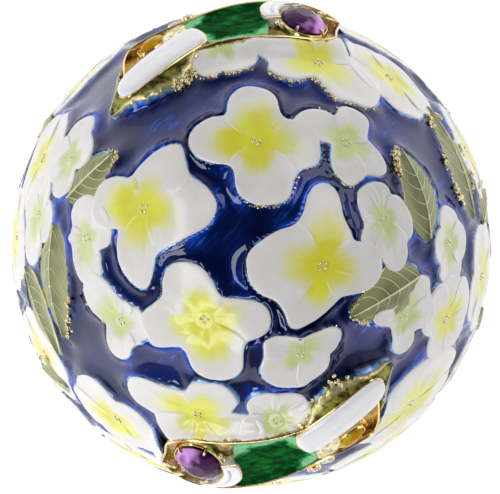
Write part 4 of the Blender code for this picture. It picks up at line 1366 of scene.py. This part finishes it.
citrine_collar_share = 0.9
oval_steps = 48
claw_bearings = (150, 218, 300)
claw_wire = 0.16 * MM

# Cast on the tray: beads, bars from end to end, and the block behind the bar, in millimetres
tray_beads = ((-5.2, -5.7), (-4.6, -5.3))
tray_bead = 0.34 * MM
tray_bars = (((0.4, -14.0), (0.7, -12.0)), ((4.0, -13.0), (2.8, -11.5)))
tray_bar_half = 0.36 * MM
tray_bar_steps = 16
tray_bar_rows = [(0, 1, tray_floor), (0, 1, 2.4 * MM), (-0.1 * MM, 1, 2.5 * MM), (-0.1 * MM, 0.4, 2.53 * MM)]
block_corners = [(-4.6, 4.6), (-2.2, 4.7), (-1.2, 5.4), (-1.9, 7.0), (-3.1, 7.6), (-4.9, 7.6), (-6.2, 6.9)]
block_rows = [(0, 1, tray_floor), (0, 1, 2.05 * MM), (-0.12 * MM, 1, 2.2 * MM), (-0.3 * MM, 1, 2.25 * MM),
              (-0.3 * MM, 0.5, 2.3 * MM)]

# Outlines of the white pieces, round which the wires run
bar_outline = [
    (-8.9, 2.8), (-10.6, 4.8), (-12.2, 6.9), (-13.7, 9.0), (-14.8, 11.0), (-14.5, 12.4), (-13.1, 12.9),
    (-11.2, 12.1), (-8.9, 9.4), (-6.9, 6.6), (-5.3, 4.3), (-5.7, 3.3), (-7.3, 2.6),
]
bar_wire = 0.15 * MM
crescent_arc = (-8, 104)
crescent_gap = 0.34 * MM
crescent_half = 1.4 * MM
crescent_shape = np.array([1.0, 0.72])
crescent_steps = 25
crescent_wire = 0.08 * MM
wire_sides = 8


def grown(loop, by):
    """The loop moved outwards by a distance."""
    run = np.roll(loop, -1, 0) - np.roll(loop, 1, 0)
    run /= np.linalg.norm(run, axis=1, keepdims=True)
    area = np.sum(loop[:, 0] * np.roll(loop[:, 1], -1) - loop[:, 1] * np.roll(loop[:, 0], -1))
    return loop + np.stack([run[:, 1], -run[:, 0]], axis=1) * by * np.sign(area)


def spun(x, y, turn):
    """Drawn points turned about nought by an angle in degrees."""
    cosine, sine = math.cos(math.radians(turn)), math.sin(math.radians(turn))
    return np.stack([x * cosine - y * sine, x * sine + y * cosine], axis=1)


def crescent_loop(share):
    """Outline of the crescent that hugs the amethyst's collar, drawn in towards its middle by a share."""
    run = np.linspace(0.5 - 0.5 * (0.9 + 0.1 * share), 0.5 + 0.5 * (0.9 + 0.1 * share), crescent_steps)
    angles = np.radians(crescent_arc[0] + run * (crescent_arc[1] - crescent_arc[0]))
    half = (crescent_half * np.sin(np.pi * (0.04 + 0.66 * run)) ** 0.9)[:, None]
    way = np.stack([np.cos(angles), np.sin(angles)], axis=1)
    outer, inner = (amethyst_at + way * (amethyst_half + crescent_gap + half * (1 + by) * crescent_shape)
                    for by in (share, -share))
    return np.concatenate([outer, inner[::-1]])


def add_plate(casting, sheet, loop, middle, rows, **values):
    """Closed plate: the loop grown and shrunk about its middle by rows of (grow, share, height)."""
    loops = [sheet.lay(middle + (grown(loop, grow) - middle) * share, height) for grow, share, height in rows]
    casting.loft(loops, **values)


def add_collar(casting, sheet, at, half, turn, rows, share=1.0):
    """Raised ring round the foot of a stone."""
    angles = np.linspace(0, 2 * np.pi, oval_steps, endpoint=False)
    loops = []
    for by, height in rows:
        across = half + by * share
        oval = at + spun(across[0] * np.cos(angles), across[1] * np.sin(angles), turn)
        loops.append(sheet.lay(oval, height))
    casting.loft(loops, ring=True)


def add_claw(casting, sheet, bearing):
    """Claw that bends from the tray over the edge of the amethyst."""
    way = np.array([math.cos(math.radians(bearing)), math.sin(math.radians(bearing))])
    run = np.linspace(0, 1, 6)[:, None]
    foot, tip = amethyst_half + 0.35 * MM, amethyst_half - 0.45 * MM
    drawn = amethyst_at + way * foot * (1 - run) + way * tip * run
    add_wire(casting, sheet, drawn, 1.9 * MM + 0.5 * MM * np.sin(np.pi * 0.7 * run[:, 0]), claw_wire)


def add_tray_bar(casting, sheet, start, end):
    """Small cast bar with blunt ends."""
    middle, long = (start + end) / 2, (end - start) / 2
    wide = np.array([-long[1], long[0]]) / np.linalg.norm(long) * tray_bar_half
    turns = np.linspace(0, 2 * np.pi, tray_bar_steps, endpoint=False)[:, None]
    ahead, aside = (np.sign(part) * np.sqrt(np.abs(part)) for part in (np.cos(turns), np.sin(turns)))
    add_plate(casting, sheet, middle + ahead * long + aside * wide, middle, tray_bar_rows, slot=rough_slot)


def add_loop_wire(casting, sheet, loop, height, thick):
    """Round wire that closes on itself along an outline."""
    loops = []
    for turn in np.linspace(0, 2 * np.pi, wire_sides, endpoint=False):
        loops.append(sheet.lay(grown(loop, thick * math.sin(turn)), height + thick * math.cos(turn)))
    casting.loft(loops, ring=True)


def honey_gilding():
    """Rough gilding under honey coloured lacquer, dark in its pits."""
    finish = Finish("honey_gilding", metallic=1.0, roughness=0.30, coat_weight=0.6, coat_roughness=0.05,
                    coat_ior=1.5)
    dark_honey, light_honey = (0.28, 0.18, 0.04), (0.86, 0.66, 0.26)
    pits = finish.noise(700, 4, 0.7)
    finish.colour(finish.blend(finish.step(pits, 0.35, 0.65), dark_honey, light_honey))
    finish.relief(pits, 0.35 * MM, 0.9)
    return finish.material


honey = honey_gilding()
bar_loop = rounded_loop(bar_outline, 6) * MM
block_loop = rounded_loop(block_corners, 6) * MM
mount_sheets = {side: Sheet(azimuth, mount_polar, True) for side, azimuth in mount_azimuths.items()}
for side, sheet in mount_sheets.items():
    tray = Casting()
    add_plate(tray, sheet, tray_loop, mount_middle, tray_rows, slots=tray_slots)
    add_collar(tray, sheet, amethyst_at, amethyst_half, 0, collar_rows)
    add_collar(tray, sheet, citrine_at, citrine_half, citrine_turn, collar_rows, citrine_collar_share)
    for at in crystal_spots.values():
        add_collar(tray, sheet, at, crystal_half, 0, crystal_collar_rows)
    for bearing in claw_bearings:
        add_claw(tray, sheet, bearing)
    for at in tray_beads:
        add_bead(tray, sheet, np.array(at) * MM, 2.4 * MM, tray_bead, slot=rough_slot)
    for ends in tray_bars:
        add_tray_bar(tray, sheet, *(np.array(ends) * MM))
    add_loop_wire(tray, sheet, grown(bar_loop, 0.04 * MM), 2.55 * MM, bar_wire)
    add_loop_wire(tray, sheet, crescent_loop(1.04), 2.5 * MM, crescent_wire)
    add_plate(tray, sheet, block_loop, block_loop.mean(0), block_rows, slot=rough_slot)
    piece = tray.piece(f"mount_{side}_tray", [gilt, honey, rough_gilt], crease=mount_crease)
    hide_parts(f"side_mount_{side}")

# Emerald cells of the side mounts: green enamel flooded into a hammered cell of each tray. It lies hollow,
# and thins to mint along the upper rim and beside the white bar, where the mint is also a painted highlight.
cell_corners = [
    (-3.6, -4.3), (-6.9, -3.9), (-7.9, -1.2), (-8.6, 1.5), (-7.4, 3.0), (-4.9, 3.9), (-2.4, 4.9), (-0.9, 4.1),
    (1.4, 1.5), (4.0, -1.8), (5.9, -4.7), (4.6, -4.9), (0.8, -4.2),
]
cell_middle = np.array([-1.9, -0.6]) * MM
cell_rows = [
    (0, 1.0, 1.1 * MM), (0, 1.0, 2.25 * MM), (0, 0.975, 2.2 * MM), (0, 0.93, 2.02 * MM),
    (0, 0.87, 1.86 * MM), (0, 0.78, 1.72 * MM), (0, 0.66, 1.62 * MM), (0, 0.5, 1.56 * MM),
    (0, 0.34, 1.53 * MM), (0, 0.18, 1.52 * MM),
]
cell_loop = rounded_loop(cell_corners, 8) * MM


def thin_and_highlit(drawn):
    """How thin the green enamel lies, and where its mint is also a painted highlight: nought where deep, and
    one along the upper rim and beside the bar.
    """
    edge = -outside(drawn, cell_loop)
    upper = smooth(-drawn[:, 0], 2.4 * MM, 6.2 * MM) * (1 - smooth(edge, 0.5 * MM, 3.4 * MM))
    beside_bar = smooth(drawn[:, 1], 1.0 * MM, 4.0 * MM) * (1 - smooth(edge, 0.2 * MM, 2.2 * MM))
    return np.maximum(upper, beside_bar)


def emerald_enamel():
    """Emerald enamel flooded over hammered gilt: dark where deep, mint where it thins out and as a painted
    highlight, with painted bright green glints.
    """
    finish = Finish("emerald_enamel", roughness=0.34, specular_ior_level=0.0, coat_weight=0.03,
                    coat_roughness=0.03, coat_ior=1.4)
    black_green, deep_green, glint_green = (0.0008, 0.040, 0.006), (0.006, 0.20, 0.030), (0.10, 0.45, 0.16)
    leaf_green, mint = (0.03, 0.32, 0.08), (0.30, 0.68, 0.38)
    hammered = finish.noise(520, 5, 0.7, stretch=(1.0, 2.6, 1.0), turn=18)
    pools = finish.noise(900, 3, 0.6)
    glint_specks = finish.noise(2400, 1)
    thin = finish.attribute("thin")
    deep = finish.blend(finish.step(hammered, 0.40, 0.70), black_green, deep_green)
    # Painted glints: scattered bright green specks where light would glance off the hammered metal.
    deep = finish.blend(finish.step(glint_specks, 0.76, 0.82, 0.0, 0.6), deep, glint_green)
    patchy = finish.math("ADD", thin, finish.math("MULTIPLY", finish.math("SUBTRACT", pools, 0.5), 1.1))
    deep = finish.blend(finish.step(patchy, 0.42, 0.66), deep, leaf_green)
    # The mint is partly thin enamel and partly a painted highlight along the upper rim and beside the bar.
    finish.colour(finish.blend(finish.step(patchy, 0.66, 0.95), deep, mint))
    finish.relief(hammered, 0.15 * MM, 0.7)
    return finish.material


emerald = emerald_enamel()
thin = [thin_and_highlit(cell_middle + (cell_loop - cell_middle) * share) for _, share, _ in cell_rows]
for side, sheet in mount_sheets.items():
    cell = Casting()
    add_plate(cell, sheet, cell_loop, cell_middle, cell_rows, thin=thin)
    piece = cell.piece(f"mount_{side}_emerald_cell", [emerald])

# White bars and crescents of the side mounts: smooth white enamel, fired as a raised bar beside each emerald
# cell and as a crescent round one side of the amethyst. They are edged by the tray's wires.
bar_middle = np.array([-10.2, 7.6]) * MM
bar_rows = [
    (0, 1.0, tray_floor), (0, 1.0, 2.75 * MM), (-0.05 * MM, 1.0, 2.9 * MM), (-0.15 * MM, 1.0, 3.0 * MM),
    (-0.35 * MM, 1.0, 3.08 * MM), (-0.7 * MM, 1.0, 3.14 * MM), (-1.2 * MM, 1.0, 3.18 * MM),
    (-1.2 * MM, 0.4, 3.2 * MM),
]
# Rows of the crescent: share of its half width, and height
crescent_rows = [
    (1, tray_floor), (1, 2.6 * MM), (0.96, 2.7 * MM), (0.88, 2.76 * MM), (0.7, 2.8 * MM), (0.1, 2.82 * MM),
]


def ivory_enamel():
    """Smooth cool white enamel of the bar and the crescent."""
    finish = Finish("ivory_enamel", roughness=0.22, coat_weight=0.6, coat_roughness=0.04, coat_ior=1.5)
    cool_white, bright_white = (0.91, 0.91, 0.95), (0.96, 0.96, 0.99)
    clouds = finish.noise(260, 2)
    finish.colour(finish.blend(finish.step(clouds, 0.3, 0.7), cool_white, bright_white))
    finish.relief(clouds, 0.05 * MM, 0.3)
    return finish.material


ivory = ivory_enamel()
for side, sheet in mount_sheets.items():
    bar = Casting()
    add_plate(bar, sheet, bar_loop, bar_middle, bar_rows)
    bar.loft([sheet.lay(crescent_loop(share), height) for share, height in crescent_rows])
    piece = bar.piece(f"mount_{side}_white_bar", [ivory])

# Stones of the side mounts: an oval amethyst, a small citrine and two round crystals in each tray, cut with
# flat facets and set in the tray's collars, the amethyst also under claws.
stone_foot = 1.8 * MM
# Bearing in degrees of the side of each stone that is painted lighter, as a highlight
stone_lit_side = 50
facet_crease = 1


def add_stone(casting, sheet, at, half, turn, sides, crown):
    """Faceted stone: pavilion, girdle, three rows of crown facets and a table."""
    centre = sheet.lay(at[None], stone_foot)[0]
    out = sheet.lay(at[None], stone_foot + MM)[0] - centre
    out /= np.linalg.norm(out)
    down = sheet.down - out * (sheet.down @ out)
    down /= np.linalg.norm(down)
    across = np.cross(out, down)
    # Share of the half size, height, and whether the row is turned by half a facet
    rows = [(0.10, -0.85 * MM, 0), (0.60, -0.5 * MM, 1), (1.0, -0.05 * MM, 0), (1.0, 0.1 * MM, 0),
            (0.84, 0.50 * crown, 1), (0.60, 0.84 * crown, 0), (0.40, crown, 1)]
    loops = []
    pale = []
    for share, height, shift in rows:
        angles = 2 * np.pi * (np.arange(sides) + 0.5 * shift) / sides
        # Painted glints: a random share for each facet corner.
        glints = [dice.uniform(-0.2, 0.2) for _ in range(sides)]
        # Painted highlight: the pale share rises towards the stone's lit side.
        pale.append(0.5 - 0.5 * share * np.cos(angles - math.radians(stone_lit_side)) + glints)
        drawn = spun(half[0] * share * np.cos(angles), half[1] * share * np.sin(angles), turn)
        loops.append(centre + drawn[:, :1] * down + drawn[:, 1:] * across + out * height)
    casting.loft(loops, shifts=[shift for _, _, shift in rows], pale=pale)


def cut_stone(name, clear, gloss, colour, highlight_colour):
    """Clear cut stone, painted lighter towards one side and on scattered facets as highlights and glints,
    with a faint cloudy tone.
    """
    finish = Finish(name, roughness=0.03, transmission_weight=clear, ior=1.4, specular_ior_level=gloss)
    clouds = finish.math("MULTIPLY", finish.math("SUBTRACT", finish.noise(500, 2), 0.5), 0.5)
    lit_facets = finish.step(finish.math("ADD", finish.attribute("pale"), clouds), 0.58, 0.98)
    finish.colour(finish.blend(lit_facets, colour, highlight_colour))
    return finish.material


# Each stone's own colour, then the colour of its painted highlights and glints
amethyst = cut_stone("amethyst_stone", 0.12, 0.05, (0.06, 0.003, 0.08), (0.85, 0.40, 1.0))
citrine = cut_stone("citrine_stone", 0.25, 0.3, (0.80, 0.40, 0.01), (1.0, 0.78, 0.10))
crystal = cut_stone("crystal_stone", 0.15, 0.8, (0.92, 0.93, 0.95), (0.96, 0.96, 0.97))
# Name, slot, finish, place, half size, turn in degrees, facets round and height of the crown
stones = [
    ("amethyst", "amethyst", amethyst, amethyst_at, amethyst_half, 0, 14, 1.25 * MM),
    ("citrine", "citrine", citrine, citrine_at, citrine_half, citrine_turn, 10, 0.8 * MM),
    ("crystal_upper", "crystal", crystal, crystal_spots["upper"], crystal_half, 0, 8, 0.5 * MM),
    ("crystal_lower", "crystal", crystal, crystal_spots["lower"], crystal_half, 0, 8, 0.5 * MM),
]
for side, sheet in mount_sheets.items():
    for name, slot, material, at, half, turn, sides, crown in stones:
        stone = Casting()
        add_stone(stone, sheet, at, half, turn, sides, crown)
        piece = stone.piece(f"{name}_{side}_cut", [material], crease=facet_crease)
        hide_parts(f"{name}_{side}")
